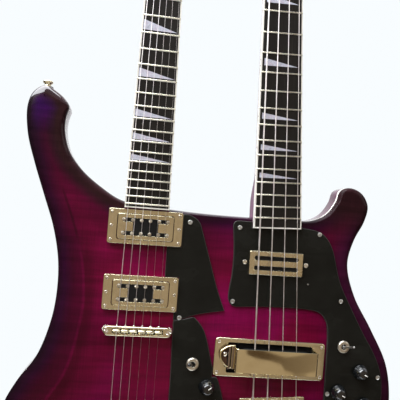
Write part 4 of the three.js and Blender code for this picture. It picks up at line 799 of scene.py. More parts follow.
def flame_top():
    """Stained flame maple under clear gloss: bright in the middle, dark at the edge, with
    cross bands of flame over a fine upright grain. The stain follows the distance to the edge
    (along) and zones in X and Z. How far up the roll a point lies (carve, wide) paints a highlight
    and shade along the roll's crease, the distance to the left cutaway's edge paints shade there,
    and one zone is painted light where the neck ring and the strings shade the top."""
    s = settings()
    f = Finish("flame_maple", roughness=0.42, coat=1.0, coat_roughness=0.03, specular=0.05, coat_ior=1.2)
    x, z = f.axis("X"), f.axis("Z")
    bands = f.noise((9.0, 9.0, 120.0), 4.0, 0.62, 0.25)
    grain = f.noise((900.0, 900.0, 24.0), 3.0, 0.6)
    clouds = f.noise((11.0, 11.0, 14.0), 2.0, 0.5)
    far = f.math("ADD", f.attribute("along"), f.times(f.math("SUBTRACT", clouds, 0.5), 0.02))
    between = tuple(0.5 * (a + b) for a, b in zip(s.burst_edge, s.burst_middle))
    stain = f.ramp(f.times(far, 8.0), [
        (0.0, s.burst_rim), (0.09, s.burst_edge), (0.2, between), (0.42, s.burst_middle),
        (0.92, s.burst_centre)])
    warmth = f.noise((16.0, 16.0, 10.0), 1.0, 0.5)
    stain = f.mix(f.zone((warmth, 0.45, 0.65), (far, 0.04, 0.09)), stain, s.burst_pink)

    # Painted highlight and shade along the roll's crease: a bright line with darker bands beside it, and
    # where the scooped part starts (start) a dark line of painted shade
    up_roll = f.times(f.attribute("carve"), 0.5)
    crease_light_and_shade, start = (f.ramp(up_roll, stops) for stops in (CREASE_PAINTED_LIGHT_TINTS, CREASE_START_PAINTED_SHADE_TINTS))
    stain = f.tinted(f.attribute("wide"), stain, f.mix(f.span(z, 0.085, 0.12), crease_light_and_shade, start))

    # Painted shade along the left cutaway's inner edge, in the brown tint that the right horn also takes
    cutaway_shade = f.span(f.attribute("cutaway_shade"), 0.024, 0.010)
    right = f.zone((z, 0.12, 0.17), (x, 0.13, 0.16))
    stain = f.tinted(f.zone((z, 0.17, 0.24), (x, -0.10, -0.16)), stain, HORN_TINT)
    tip = f.zone((z, 0.235, 0.275), (x, -0.185, -0.215), (far, 0.004, 0.012))
    stain = f.mix(tip, stain, s.horn_tint)
    stain = f.tinted(f.zone((x, -0.01, 0.02), (x, 0.09, 0.06), (z, 0.09, 0.115)), stain, SADDLE_TINT)
    # Painted light, brightening the top where the neck ring and the strings shade it
    middle = f.zone((x, -0.10, -0.07), (x, 0.0, -0.02), (z, 0.03, 0.06), (z, 0.13, 0.10))
    stain = f.tinted(middle, stain, MIDDLE_PAINTED_LIGHT_TINT)
    shoulder = f.zone((z, 0.14, 0.16), (x, -0.142, -0.126), (x, -0.10, -0.116))
    stain = f.mix(shoulder, stain, s.horn_tint)
    stain = f.mix(f.math("MAXIMUM", f.times(right, 0.95), cutaway_shade), stain, s.brown_tint)
    side = f.zone((x, 0.155, 0.168), (z, 0.15, 0.11))
    stain = f.mix(f.times(side, 0.6), stain, s.side_tint)

    lower = f.span(z, -0.15, 0.06, s.lower_shade, 1.0)
    lit = f.span(bands, 0.3, 0.7, 1.0 - s.flame_strength, 1.0 + s.flame_strength)
    amount = f.times(lit, f.span(grain, 0.35, 0.65, 0.88, 1.1), lower)
    shade = f.ramp(f.times(amount, 0.5), [(0.0, (0, 0, 0)), (1.0, (2, 2, 2))])
    f.colour(f.mix(1.0, stain, shade, "MULTIPLY"))
    f.rough(bands, 0.36, 0.5)
    lift = f.span(f.attribute("lift"), 0.06, 0.12)
    f.put(f.math("ADD", f.times(lift, 0.34), 1.2), f.inputs["Coat IOR"])
    f.put(f.span(x, 0.10, 0.13, 1.0, 0.3), f.inputs["Coat Weight"])
    f.bump(f.noise((14.0, 14.0, 14.0), 2.0), 0.00015, 0.5, "Coat Normal")
    return f.material


def stained_wood(name, tint, coat=1.0):
    """Stained wood under gloss, with a long upright grain and slow changes of tone."""
    f = Finish(name, roughness=0.4, coat=coat, coat_roughness=0.05, specular=0.1, coat_ior=1.3)
    grain = f.noise((420.0, 420.0, 9.0), 4.0, 0.6)
    pores = f.noise((1500.0, 1500.0, 60.0), 2.0, 0.5)
    tone = f.mix(f.span(grain, 0.35, 0.68), toned(tint, 0.55), toned(tint, 1.35))
    f.colour(f.mix(f.span(pores, 0.62, 0.72, 0.0, 0.6), tone, toned(tint, 0.3)))
    f.rough(grain, 0.34, 0.48)
    f.bump(grain, 0.00006, 0.4)
    return f.material


def board_wood():
    """Dark oiled wood: fine streaks up the neck, a few lighter ones, open pores."""
    tint = settings().board_colour
    f = Finish("fretboard_wood", roughness=0.5, specular=0.15)
    streaks = f.noise((700.0, 700.0, 10.0), 5.0, 0.65)
    pores = f.noise((2200.0, 2200.0, 90.0), 2.0, 0.5)
    tone = f.ramp(streaks, [(0.3, toned(tint, 0.6)), (0.6, tint), (0.78, toned(tint, 2.1))])
    f.colour(f.mix(f.span(pores, 0.6, 0.72, 0.0, 0.7), tone, toned(tint, 0.3)))
    f.rough(pores, 0.42, 0.6)
    f.bump(pores, 0.00008, 0.5)
    return f.material


def pearl():
    """Mother of pearl: cells of slightly different white, with a soft sheen of colour."""
    f = Finish("pearl", roughness=0.2, coat=0.6, coat_roughness=0.04)
    cells = f.noise((160.0, 160.0, 90.0), 4.0, 0.7, 1.5)
    f.colour(f.ramp(cells, PEARL_TINTS))
    f.rough(cells, 0.15, 0.3)
    return f.material


def plain_plastic(name, tint, roughness, coat=0.0, grain=0.15, coat_ior=1.5):
    """Moulded plastic: an even colour broken by slow clouds and a fine skin."""
    f = Finish(name, roughness=roughness, coat=coat, coat_roughness=0.04, specular=0.15, coat_ior=coat_ior)
    clouds = f.noise((30.0, 30.0, 30.0), 4.0, 0.6)
    f.colour(f.mix(f.span(clouds, 0.3, 0.7), toned(tint, 1 - grain), toned(tint, 1 + grain)))
    f.rough(f.noise((180.0, 180.0, 180.0), 3.0), roughness * 0.8, roughness * 1.25)
    f.bump(f.noise((1600.0, 1600.0, 1600.0), 2.0), 0.00002, 0.4)
    return f.material


def plated(name, tint, roughness, smudge=0.5, scratch=0.00001):
    """Plated metal: worn clouds in the polish, a warm film in places and faint scratches."""
    f = Finish(name, roughness=roughness, metallic=1.0)
    film = f.noise((26.0, 26.0, 40.0), 4.0, 0.6)
    fine = f.noise((240.0, 240.0, 240.0), 3.0, 0.6)
    dull = tuple(c * k for c, k in zip(tint, (0.74, 0.66, 0.54)))
    f.colour(f.mix(f.span(film, 0.42, 0.72, 0.0, smudge), tint, dull))
    f.rough(f.math("ADD", f.times(film, 0.6), f.times(fine, 0.4)), roughness * 0.65, roughness * 1.5)
    f.bump(f.noise((900.0, 60.0, 900.0), 2.0), scratch, 0.25)
    return f.material


def wound_string(name, tint, pitch):
    """A wound string: ridges that follow each other at the wrap wire's pitch along the string, with painted
    shade in the grooves between them.
    """
    f = Finish(name, roughness=0.42, metallic=1.0)
    ridge = f.math("SINE", f.times(f.attribute("along"), FULL_TURN / pitch))
    # Painted shade: the colour darkens in the grooves between the ridges
    f.colour(f.mix(f.span(ridge, -1.0, 0.0), toned(tint, 0.6), tint))
    f.rough(f.noise((60.0, 60.0, 60.0)), 0.34, 0.5)
    f.bump(ridge, 0.00003, 0.5)
    return f.material


def brushed(name, tint, roughness):
    """Plain drawn or brushed metal, with fine lines up the instrument."""
    f = Finish(name, roughness=roughness, metallic=1.0)
    lines = f.noise((2600.0, 2600.0, 60.0), 2.0)
    f.colour(f.mix(f.span(lines, 0.35, 0.65), toned(tint, 0.86), tint))
    f.rough(lines, roughness * 0.75, roughness * 1.3)
    return f.material


def guard_plastic():
    """Black gloss sheet with dust, faint swirls from wiping and a slow waviness."""
    tint = settings().guard_colour
    f = Finish("guard_black", roughness=0.3, coat=0.8, coat_roughness=0.05, specular=0.06, coat_ior=1.2)
    dust = f.noise((700.0, 700.0, 700.0), 4.0, 0.7)
    haze = f.noise((20.0, 20.0, 26.0), 3.0, 0.6)
    base = f.mix(f.span(haze, 0.35, 0.7), toned(tint, 0.8), toned(tint, 1.3))
    f.colour(f.mix(f.span(dust, 0.66, 0.78, 0.0, 0.5), base, (0.09, 0.088, 0.08)))
    f.rough(haze, 0.16, 0.34)
    f.bump(f.noise((9.0, 9.0, 9.0), 1.0), 0.0004, 0.3)
    return f.material


def hollow_shade_finish():
    """Painted shade for the inside of slots and holes: black with a little dust."""
    f = Finish("painted_hollow_shade", roughness=0.8, specular=0.05)
    f.colour(f.mix(f.noise((400.0, 400.0, 400.0)), (0.002, 0.002, 0.002), (0.012, 0.011, 0.01)))
    return f.material


def felt():
    """Pressed felt: short fibres as a fine bump and a sheen."""
    f = Finish("felt", roughness=0.95)
    fibres = f.noise((2200.0, 2200.0, 2200.0), 5.0, 0.7)
    f.colour(f.mix(fibres, (0.004, 0.004, 0.005), (0.03, 0.03, 0.032)))
    f.inputs["Sheen Weight"].default_value = 0.4
    f.bump(fibres, 0.0002, 0.8)
    return f.material


def finish(key):
    """A material by its key, made once."""
    if key in FINISHES:
        return FINISHES[key]
    s = settings()
    makers = {
        "top": flame_top,
        "back": lambda: stained_wood("back_stain", s.back_stain),
        "neck": lambda: stained_wood("neck_stain", s.neck_stain, 0.5),
        "veneer": lambda: stained_wood("head_veneer", (0.012, 0.008, 0.011)),
        "board": board_wood,
        "pearl": pearl,
        "binding": lambda: plain_plastic("binding_cream", s.binding_colour, 0.35, 0.5, 0.08),
        "bone": lambda: plain_plastic("bone", (0.72, 0.68, 0.55), 0.4, 0.2, 0.1),
        "guard": guard_plastic,
        # The guards' edge, painted lighter than their face as an edge highlight
        "guard_edge_highlight": lambda: plain_plastic("guard_edge_highlight", (0.028, 0.027, 0.025), 0.4, 0.1, coat_ior=1.25),
        "knob": lambda: plain_plastic("knob_black", (0.003, 0.004, 0.005), 0.4, 1.0, 0.2, 1.68),
        "white": lambda: plain_plastic("marker_white", (0.75, 0.74, 0.7), 0.4),
        "coil": lambda: plain_plastic("coil_black", (0.008, 0.008, 0.008), 0.5),
        "brown": lambda: plain_plastic("boss_inside", (0.07, 0.035, 0.02), 0.5),
        "chrome": lambda: plated("warm_chrome", s.plate_colour, 0.2),
        "cover": lambda: plated("cover_chrome", (0.82, 0.755, 0.51), 0.03, 0.3, 0.000002),
        "bright": lambda: plated("bright_chrome", (0.93, 0.92, 0.88), 0.14, 0.2),
        "gold": lambda: plated("pinkish_edge", (0.62, 0.42, 0.33), 0.25),
        "satin": lambda: plated("satin_chrome", (0.62, 0.58, 0.49), 0.34, 0.3),
        "bat": lambda: plated("lever_chrome", (0.42, 0.41, 0.4), 0.3, 0.3),
        "dusky": lambda: plated("dusky_chrome", (0.34, 0.29, 0.26), 0.16, 0.3),
        "screw": lambda: plated("screw_nickel", (0.82, 0.78, 0.68), 0.25, 0.3),
        "nickel": lambda: plated("guard_nickel", (0.6, 0.61, 0.6), 0.32, 0.3),
        "fret": lambda: brushed("fret_nickel", (0.8, 0.76, 0.63), 0.28),
        "steel": lambda: brushed("string_steel", (0.62, 0.58, 0.56), 0.35),
        "wound": lambda: wound_string("string_wound", (0.9, 0.85, 0.84), 0.0006),
        # dark: painted shade, for the inside of holes and hollows
        "dark": hollow_shade_finish,
        "felt": felt,
    }
    FINISHES[key] = makers[key]()
    return FINISHES[key]


# Body


def body_outline():
    """The body's outline with the roll's width at each point, from the shares stretched between the
    necks' heels and beyond them, through a closed curve."""
    sx, sz, roll = np.array(BODY_SHARES).T
    heels = (0.0, HEEL_LEFT_SHARE, HEEL_RIGHT_SHARE, 1.0)
    x = np.interp(sx, heels, (BODY_LEFT, HEEL_LEFT, HEEL_RIGHT, BODY_RIGHT))
    z = np.interp(sz, (0.0, JOINT_SHARE, 1.0), (BODY_BOTTOM, JOINT_Z, BODY_TOP))
    curve = spline(np.stack([x, z, roll * ROLL_WIDTH], axis=1), settings().outline_points)
    low, high = (np.array(corner)[[0, 2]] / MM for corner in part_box("body"))
    curve[:, :2] = np.clip(curve[:, :2], low, high)
    return curve


def inward_normals(outline):
    """Unit normals that point into an anticlockwise outline, from each point's neighbours."""
    along = np.roll(outline, -1, axis=0)[:, :2] - np.roll(outline, 1, axis=0)[:, :2]
    along /= np.linalg.norm(along, axis=1, keepdims=True)
    return np.stack([-along[:, 1], along[:, 0]], axis=1)


def edge_distance(points, outline):
    """The distance from each point to the nearest point of the outline, in X and Z, and which that is."""
    gaps = np.sum((points[:, None, :] - outline[None, :, :2]) ** 2, axis=2)
    return np.sqrt(gaps.min(axis=1)), np.argmin(gaps, axis=1)


def level_ring(outline, y):
    """An outline in X and Z lifted to a level of Y."""
    return np.stack([outline[:, 0], np.broadcast_to(y, len(outline)), outline[:, 1]], axis=1)


def roll_height(t, roll):
    """How far up the roll a point is, from 0 at the rim to 1 on the flat: a quarter of a rounded
    square, blended with a straight slope where the roll is wide, so that it meets the flat in a crease."""
    slope = 0.3 * np.clip((roll / ROLL_WIDTH - 0.35) / 0.5, 0.0, 1.0)
    curve = np.sqrt(np.maximum(1 - (1 - t) ** 2.3, 0.0))
    return (1 - slope) * curve + slope * t


def filled(inner):
    """Points of a square grid inside a loop, and triangles over the loop's points and those."""
    count = len(inner)
    axes = [np.arange(low, high, GRID_STEP) for low, high in zip(inner.min(axis=0), inner.max(axis=0))]
    grid = np.stack([axis.ravel() for axis in np.meshgrid(*axes)], axis=1)
    grid = grid[edge_distance(grid, inner)[0] > 0.6 * GRID_STEP]
    edges = [(n, (n + 1) % count) for n in range(count)]
    spots = [Vector(p) for p in (*inner, *grid)]
    result = delaunay_2d_cdt(spots, edges, [tuple(range(count))], 1, 1e-6)
    points = np.array([tuple(v) for v in result[0]])
    if len(points) < count or np.abs(points[:count] - inner).max() > 1e-3:
        raise RuntimeError("the flat of the top lost its edge")
    return points[count:], faced(points, np.array([tuple(f) for f in result[2]]))[1]


def make_body():
    """The back with its rounded edge, the cream band in its side and the carved top over both."""
    outline = body_outline()
    inward = inward_normals(outline)
    flat, roll = outline[:, :2], outline[:, 2]

    def ring(inset, level):
        return level_ring(flat + inward * np.broadcast_to(inset, len(flat))[:, None], level)

    turns = np.linspace(0.0, 0.5 * math.pi, 6)
    insets = [*(BACK_ROUNDING * (1 - np.sin(turns))), 0.0, 0.35]
    levels = [*(-BACK_ROUNDING * (1 - np.cos(turns))), CAP_BACK, BINDING_BACK + 0.05]
    Shape().add(*skin([ring(inset, level) for inset, level in zip(insets, levels)])).build(
        "body_back", ["back"], slot="back_lacquer", nodes=["body"])

    behind = ((3.0, BINDING_BACK), (0.3, BINDING_BACK), (0.0, BINDING_BACK - 0.35))
    ahead = ((0.0, BINDING_FRONT + 0.35), (0.3, BINDING_FRONT), (3.0, BINDING_FRONT))
    rings = [ring(inset, level) for inset, level in behind + ahead]
    Shape().add(*skin(rings, closed=True)).build(
        "edge_binding", ["binding"], slot="binding", nodes=["body_binding"])

    steps = np.concatenate([np.linspace(0.0, 0.95, 17) ** 1.4, [0.95, 0.98, 1.0]])
    rings = [ring(0.4, BINDING_FRONT + 0.02), ring(0.0, RIM_FACE)]
    rings += [ring(roll * t, RIM_FACE + (TOP_FACE - RIM_FACE) * roll_height(t, roll)) for t in steps[1:]]
    rings.append(ring(roll + CREASE, TOP_FACE))
    points, faces = skin(rings)
    spots, triangles = filled(rings[-1][:, [0, 2]])
    count = len(outline)
    start = len(points) - count
    points = np.vstack([points, level_ring(spots, TOP_FACE)])
    faces = faces[:-1] + [tuple(t) for t in (triangles + start).tolist()]
    places = points[:, [0, 2]]
    top = Shape().add(points, faces, value=edge_distance(places, outline)[0]).build(
        "flame_top", ["top"], slot="top_lacquer", nodes=["maple_top"], angle=60.0)

    crease = flat + inward * roll[:, None]
    shares = np.clip((roll / ROLL_WIDTH - 0.5) / 0.04, 0.0, 1.0)
    shares *= np.clip((SCOOP_TOP - crease[:, 1]) / 12.0, 0.0, 1.0)
    gaps, nearest = edge_distance(spots, crease)
    across = np.concatenate([[0.0], steps, [1 + CREASE / SCOOP_WIDTH]])
    carve = np.concatenate([np.repeat(across, count), 1 + gaps / SCOOP_WIDTH])
    wide = np.concatenate([np.tile(shares, len(across)), shares[nearest]])
    # Distance to the left cutaway's inner edge, along which the top's material paints shade
    cutaway = (inward[:, 0] < 0.3) & (flat[:, 0] > -222.0) & (flat[:, 0] < HEEL_LEFT) & (flat[:, 1] > 140.0)
    cutaway_shade = edge_distance(places, flat[cutaway])[0] * MM
    x, _, z = points.T
    normals = np.zeros(points.size)
    top.data.vertices.foreach_get("normal", normals)
    tip = (z > 262.0) & (x < -200.0)
    saddle = (x > -70.0) & (x < 80.0) & (z > 100.0)
    lift = np.where(tip, 1.0, np.where(saddle, 0.13, 0.0)) * normals.reshape(-1, 3)[:, 2]
    for name, values in {"carve": carve, "wide": wide, "cutaway_shade": cutaway_shade, "lift": lift}.items():
        top.data.attributes.new(name, "FLOAT", "POINT").data.foreach_set("value", values)


# Necks


def board_half(neck, z):
    """Half the fretboard's width, which grows evenly from the nut to its end."""
    share = (neck["scale"] - z) / (neck["scale"] - neck["board_end"])
    return (neck["nut_width"] + (neck["end_width"] - neck["nut_width"]) * share) / 2


def fret_z(neck, number):
    """A fret's place: the scale length halves every twelve frets."""
    return neck["scale"] * 2 ** (-number / 12)


def make_neck(neck):
    """A neck from its foot in the body to its headstock: rings flat at the front, behind them half a
    superellipse whose depth falls and whose corners round off up the heel."""
    matrix, head = neck_matrix(neck), head_matrix(neck)
    start = neck["body_edge"] + HEEL_LIFT
    heights = np.concatenate([
        [neck["body_edge"] - 12.0, neck["body_edge"], start - HEEL_LEAD],
        np.linspace(start, start + HEEL_SWEEP, 12),
        np.linspace(start + HEEL_SWEEP + 30, neck["scale"] - 60, 8),
        np.linspace(neck["scale"] - 30, neck["scale"] + NUT_THICKNESS + 2, 5),
    ])
    share = np.clip((heights - start + HEEL_LEAD) / (HEEL_SWEEP + HEEL_LEAD), 0.0, 1.0)
    fall = np.sin(share * math.pi / 2) ** 2
    heel_depth = HEEL_BACK - NECK_FACE
    slim = neck["depth"] * (1.12 - 0.12 * np.clip((heights - start) / 300.0, 0.0, 1.0))
    depth = (heel_depth + (slim - heel_depth) * fall)[:, None]
    power = 2 / (HEEL_POWER + (NECK_POWER - HEEL_POWER) * fall)[:, None]
    half = board_half(neck, np.clip(heights, neck["board_end"], neck["scale"]))[:, None] - EDGE_SLACK
    angles = np.linspace(0.0, math.pi, 25)
    cos, sin = np.cos(angles)[None], np.sin(angles)[None]
    xs = half * np.sign(cos) * np.abs(cos) ** power
    ys = NECK_FACE + depth * np.abs(sin) ** power
    rings = np.stack([xs, ys, np.broadcast_to(heights[:, None], xs.shape)], axis=2)
    shape = Shape().add(*skin(rings), 0, matrix)

    right = np.array(HEAD_SHARES) * (neck["head_width"] / 2, neck["head_length"])
    loop = np.vstack([right, right[:-1][::-1] * (-1, 1)])
    corners = np.column_stack([loop, np.full(len(loop), 30.0)])
    corners[[0, -1], 2] = 1.0
    add_plate(shape, rounded(corners, 7), -0.05, neck["head_thickness"], bevel=1.4, face=1, matrix=head)
    name = neck["name"]
    shape.build(f"{name}_neck_wood", ["neck", "veneer"], slot="neck_lacquer", nodes=[f"{name}_neck"])

    wide = neck["cover_half"]
    outline = rounded([
        (-wide, 5.0, 4), (wide, 5.0, 4), (wide * 0.8, 22.0, 14), (2.5, 38.0, 6), (-2.5, 38.0, 6),
        (-wide * 0.8, 22.0, 14),
    ])
    cover = add_plate(Shape(), outline, -1.9, -0.1, bevel=0.7, matrix=head)
    add_front_screws(cover, [(0.0, 9.0), (0.0, 33.0)], -1.9, 1.5, 0.6, material=1, matrix=head)
    cover.build(f"{name}_truss_cover", ["knob", "screw"], slot="pickguard")


def make_board(neck):
    """A fretboard of dark wood with a cream band round it, dots in its side, pearl wedges and frets."""
    matrix = neck_matrix(neck)
    name = neck["name"]
    node = [f"{name}_fretboard"]
    end, top = neck["board_end"], neck["scale"] - 0.1

    def board_loop(inset):
        low, high = board_half(neck, end) - inset, board_half(neck, top) - inset
        return np.array([(-low, end + inset), (low, end + inset), (high, top), (-high, top)])

    wood = add_plate(Shape(), board_loop(BOARD_BAND), BOARD_FACE, BOARD_BACK, bevel=0.0, matrix=matrix)
    wood.build(f"{name}_board_wood", ["board"], slot="fretboard_wood", nodes=node)

    strip = np.vstack([board_loop(0.0)[[3, 0, 1, 2]], board_loop(BOARD_BAND - 0.02)[[2, 1, 0, 3]]])
    edge = add_plate(Shape(), strip, BOARD_FACE - 0.03, BOARD_BACK, bevel=0.12, steps=1, matrix=matrix)
    edge.build(f"{name}_board_band", ["binding"], slot="binding", nodes=node)

    dots, inlays, frets = Shape(), Shape(), Shape()
    dot = [(0.05, 0.0), (1.0, 0.0), (1.0, -0.5)]
    for number in INLAY_FRETS:
        low, high = fret_z(neck, number), fret_z(neck, number - 1)
        for shift in (-4.0, 4.0) if number == 12 else (0.0,):
            z = (low + high) / 2 + shift
            place = aimed((-board_half(neck, z) - 0.06, (BOARD_FACE + BOARD_BACK) / 2, z), UPWARD, INWARD)
            dots.add(*lathe(dot, sides=12), 0, matrix @ place)
        foot = low + (high - low) * neck["inlay_foot"]
        peak = low + (high - low) * neck["inlay_top"]
        left = -board_half(neck, foot) + neck["inlay_left"]
        right = board_half(neck, foot) - neck["inlay_right"]
        wedge = rounded([(left, foot, 0.8), (right, foot, 0.8), (left + 0.3, peak, 0.8)], 4)
        add_plate(inlays, wedge, BOARD_FACE - 0.06, BOARD_FACE + 0.8, bevel=0.0, matrix=matrix)
    dots.build(f"{name}_side_dots", ["coil"], slot="pickguard", nodes=node)
    inlays.build(f"{name}_inlays", ["pearl"], slot="binding", nodes=node)

    arch = np.linspace(0.0, math.pi, 9)
    lift = np.array([0.35, 0.75, 1.0, 1.0, 0.75, 0.35])[:, None]
    ys = BOARD_FACE + FRET_SINK - FRET_RISE * np.sin(arch) * lift
    for number in range(1, neck["frets"] + 1):
        z = fret_z(neck, number)
        half = board_half(neck, z) - EDGE_SLACK
        xs = np.array([-half, -half + 0.25, -half + 0.9, half - 0.9, half - 0.25, half])[:, None]
        zs = z - FRET_HALF * np.cos(arch)
        rings = np.stack([np.broadcast_to(xs, ys.shape), ys, np.broadcast_to(zs, ys.shape)], axis=2)
        frets.add(*skin(rings), 0, matrix)
    frets.build(f"{name}_frets", ["fret"], slot="hardware", nodes=node)


def string_radius(neck, number):
    """Each string is thinner than the last by one ratio."""
    return neck["thick"] * (neck["thin"] / neck["thick"]) ** (number / (neck["strings"] - 1))


def string_x(neck, number, spread):
    """Strings at even spaces across a spread."""
    return spread * (number / (neck["strings"] - 1) - 0.5)


def post_places(neck):
    """Every tuner: its side, its place up the headstock and its place across it."""
    heights = [share * neck["head_length"] for share in neck["post_shares"]]
    return [(side, z, side * neck["post_x"]) for side in (-1, 1) for z in heights]


def string_tuner(neck, number):
    """The tuner that a string runs to: the outer strings take the posts nearest the nut."""
    half = neck["strings"] // 2
    place = number if number < half else neck["strings"] - 1 - number
    return place if number < half else place + half


def make_nut(neck):
    """The nut: a bar whose front edge is rounded, with a notch worked in for each string."""
    half = board_half(neck, neck["scale"]) - 0.2
    numbers = range(neck["strings"])
    places = np.array([string_x(neck, n, neck["nut_spread"]) for n in numbers])
    radii = np.array([string_radius(neck, n) for n in numbers])
    notched = [places + k * radii for k in (-1.3, -1, 0, 1, 1.3)]
    xs = np.unique(np.concatenate([np.linspace(-half, half, 60), *notched]))
    gap = np.abs(xs[:, None] - places[None])
    notch = np.where(gap < radii * 1.25, 0.35 + radii * 1.2, 0.0).max(axis=1)
    low, high = neck["scale"], neck["scale"] + NUT_THICKNESS - 0.2
    turns = np.linspace(0.0, math.pi, 9)
    across = (low + high) / 2 - (high - low) / 2 * np.cos(turns)
    crown = NUT_FRONT + 0.9 * (1 - np.sin(turns))
    ys = np.maximum(crown[None] + notch[:, None], NUT_FRONT)
    ys = np.hstack([ys, np.full((len(xs), 2), NECK_FACE)])
    zs = np.broadcast_to([*across, high, low], ys.shape)
    rings = np.stack([np.broadcast_to(xs[:, None], ys.shape), ys, zs], axis=2)
    shape = Shape().add(*skin(rings), 0, neck_matrix(neck))
    shape.build(f"{neck['name']}_nut_bone", ["bone"], slot="nut", nodes=[f"{neck['name']}_nut"])


def make_strings(neck):
    """Each string runs from its ball end over its saddle and nut to its post, and turns round the post
    there as a helix: an angle that grows along the turns, at a fixed distance from the post."""
    matrix, head = neck_matrix(neck), head_matrix(neck)
    lean = np.linalg.inv(matrix) @ head
    name = neck["name"]
    for number in range(neck["strings"]):
        radius = string_radius(neck, number) * neck["drawn"]
        saddle = string_x(neck, number, neck["saddle_spread"])
        nut = string_x(neck, number, neck["nut_spread"])
        tuner = string_tuner(neck, number)
        side, post_z, post_x = post_places(neck)[tuner]
        wrap_y = -WRAP_SHARE * neck["post_rise"]
        around = neck["post_radius"] + radius
        anchor = (saddle, TOP_FACE - neck["anchor_rise"], -neck["anchor_reach"])
        over_saddle, over_nut = STRING_AT_SADDLE - radius, STRING_AT_NUT - radius
        stops = np.array([
            anchor, (saddle, over_saddle + 0.25, -1.2), (saddle, over_saddle + 0.15, 0.0),
            (saddle, over_saddle + 0.18, 1.5), (nut, over_nut, neck["scale"]),
            (nut, over_nut + 0.3, neck["scale"] + NUT_THICKNESS),
            placed((post_x - side * around, wrap_y, post_z), lean),
        ])
        parts = [np.linspace(a, b, 8, endpoint=False) for a, b in zip(stops[:-1], stops[1:])]
        path = np.vstack([*parts, stops[-1:]])
        kind = "wound" if number < neck["wound"] else "steel"
        shape = Shape().add(*tube(path, radius, 8, SIDEWAYS), 0, matrix, travelled(path, 8))
        profile = [(0.3, -1.6), (1.6, -1.6), (1.9, -1.2), (1.9, 1.2), (1.6, 1.6), (0.3, 1.6)]
        shape.add(*lathe(profile, aimed(placed(anchor, matrix), UPWARD, INWARD), 12), 1)
        shape.build(f"{name}_string_{number + 1}", [kind, "gold"], slot="string_steel",
                    nodes=[f"{name}_strings"])

        wraps = neck["wraps"] + settings().extra_wraps
        turns = np.linspace(0.0, wraps * FULL_TURN, int(26 * wraps))
        angle = turns if side < 0 else math.pi - turns
        drop = wrap_y + turns / FULL_TURN * 2.05 * radius
        coil = np.stack([post_x + around * np.cos(angle), drop, post_z + around * np.sin(angle)], axis=1)
        wrap = Shape().add(*tube(coil, radius, 6), 0, head, travelled(coil, 6))
        wrap.build(f"{name}_string_turns_{tuner + 1}", [kind], slot="string_steel",
                   body=f"{name}_string_post_{tuner + 1}")


def tuner_levels(neck):
    """Levels behind the headstock: the plate's face, the gear's and the worm's, and how far below its
    post the worm lies."""
    plate_front = neck["head_thickness"] + 0.3
    gear_front = plate_front + TUNER_PLATE + 1.6
    worm_drop = neck["gear_radius"] + neck["worm_radius"] + 0.3
    return plate_front, gear_front, gear_front + GEAR_WIDTH / 2, worm_drop


def gear_outline(radius, teeth):
    """A gear's edge: its radius steps between root and tip with a rounded square wave of the angle."""
    angles = ring_angles(teeth * 12)
    wave = np.tanh(2.2 * np.sin(angles * teeth))
    edge = radius - 0.045 * radius * (1 - wave) - 0.1
    return np.stack([edge * np.cos(angles), edge * np.sin(angles)], axis=1)


def make_tuner_plate(neck, head, side, word):
    """A plate behind one side of a headstock, with two ears for each worm and a screw in each corner."""
    plate_front, _, worm_y, drop = tuner_levels(neck)
    rows = [(z, x) for s, z, x in post_places(neck) if s == side]
    worm = neck["worm_radius"] + 1.2
    half = neck["gear_radius"] + 1.6
    low, high = rows[0][0] - drop - half / 2, rows[-1][0] + half
    middle = rows[0][1]
    turn = head @ shifted(0.0, plate_front + TUNER_PLATE, 0.0) @ FROM_BEHIND
    outline = box_outline((middle - half, middle + half, low, high), 2.0)
    shape = add_plate(Shape(), outline, 0.0, TUNER_PLATE, bevel=0.4, matrix=turn)
    tall = TUNER_PLATE - (worm_y + worm - plate_front)
    for z, x in rows:
        for ear in (x - EAR_REACH, x + EAR_REACH):
            add_block(shape, ear - EAR_HALF, ear + EAR_HALF, tall, 0.2, z - drop - worm, z - drop + worm, 0.7,
                      0, turn)
    screws = [(middle + end * (half - 1.9), z) for end in (-1, 1) for z in (low + 2.2, high - 2.2)]
    for n, (x, z) in enumerate(screws):
        origin = placed((x, plate_front + 1.3, z), head)
        add_screw(shape, origin, head[:3, 1], 1.6, 0.8, True, 1, n * 0.9)
    shape.build(f"{neck['name']}_plate_{word}", ["chrome", "screw"], slot="hardware",
                nodes=[f"{neck['name']}_tuner_plate_{word}"])


def make_post(neck, head, number, x, z):
    """A string post, waisted where the string turns round it, with its cross hole as a dark rod of painted
    shade, and its toothed gear.
    """
    _, gear_front, _, _ = tuner_levels(neck)
    turn = head @ shifted(x, 0.0, z)
    r, rise, gear_back = neck["post_radius"], neck["post_rise"], gear_front + GEAR_WIDTH
    profile = bent_profile([
        (0.2, -rise, 0), (r - 0.5, -rise, 0.4), (r, -rise + 0.8, 0.3), (r, -0.85 * rise + 1.6, 0.4),
        (r - 0.25, -0.6 * rise, 1.0), (r - 0.15, -0.4 * rise, 1.0), (r, -1.5, 0.4),
        (r, gear_front + 0.2, 0.0), (0.2, gear_front + 0.2, 0),
    ])
    post = Shape().add(*lathe(profile, turn, 24))
    gear = gear_outline(neck["gear_radius"], neck["teeth"])
    add_plate(post, gear, gear_front, gear_back, bevel=0.25, matrix=turn)
    profile = [(0.2, -gear_back - 0.9), (r * 0.62, -gear_back - 0.9), (r * 0.75, -gear_back - 0.5),
               (r * 0.75, -gear_back + 0.2)]
    post.add(*lathe(profile, turn @ FROM_BEHIND, 20))
    # The cross hole is a rod of the dark finish set into the post: painted shade of the hole
    hole = placed((0.0, -rise * POST_HOLE_SHARE, 0.0), turn)
    hole = aimed(hole, head[:3, 0], head[:3, 2]) @ turned(90, "X")
    post.add(*lathe([(0.252 * r, -r - 0.03), (0.252 * r, r + 0.03)], hole, 12), 1)
    name = f"{neck['name']}_string_post_{number}"
    post.build(f"{neck['name']}_post_{number}", ["chrome", "dark"], slot="hardware", body=name, nodes=[name])


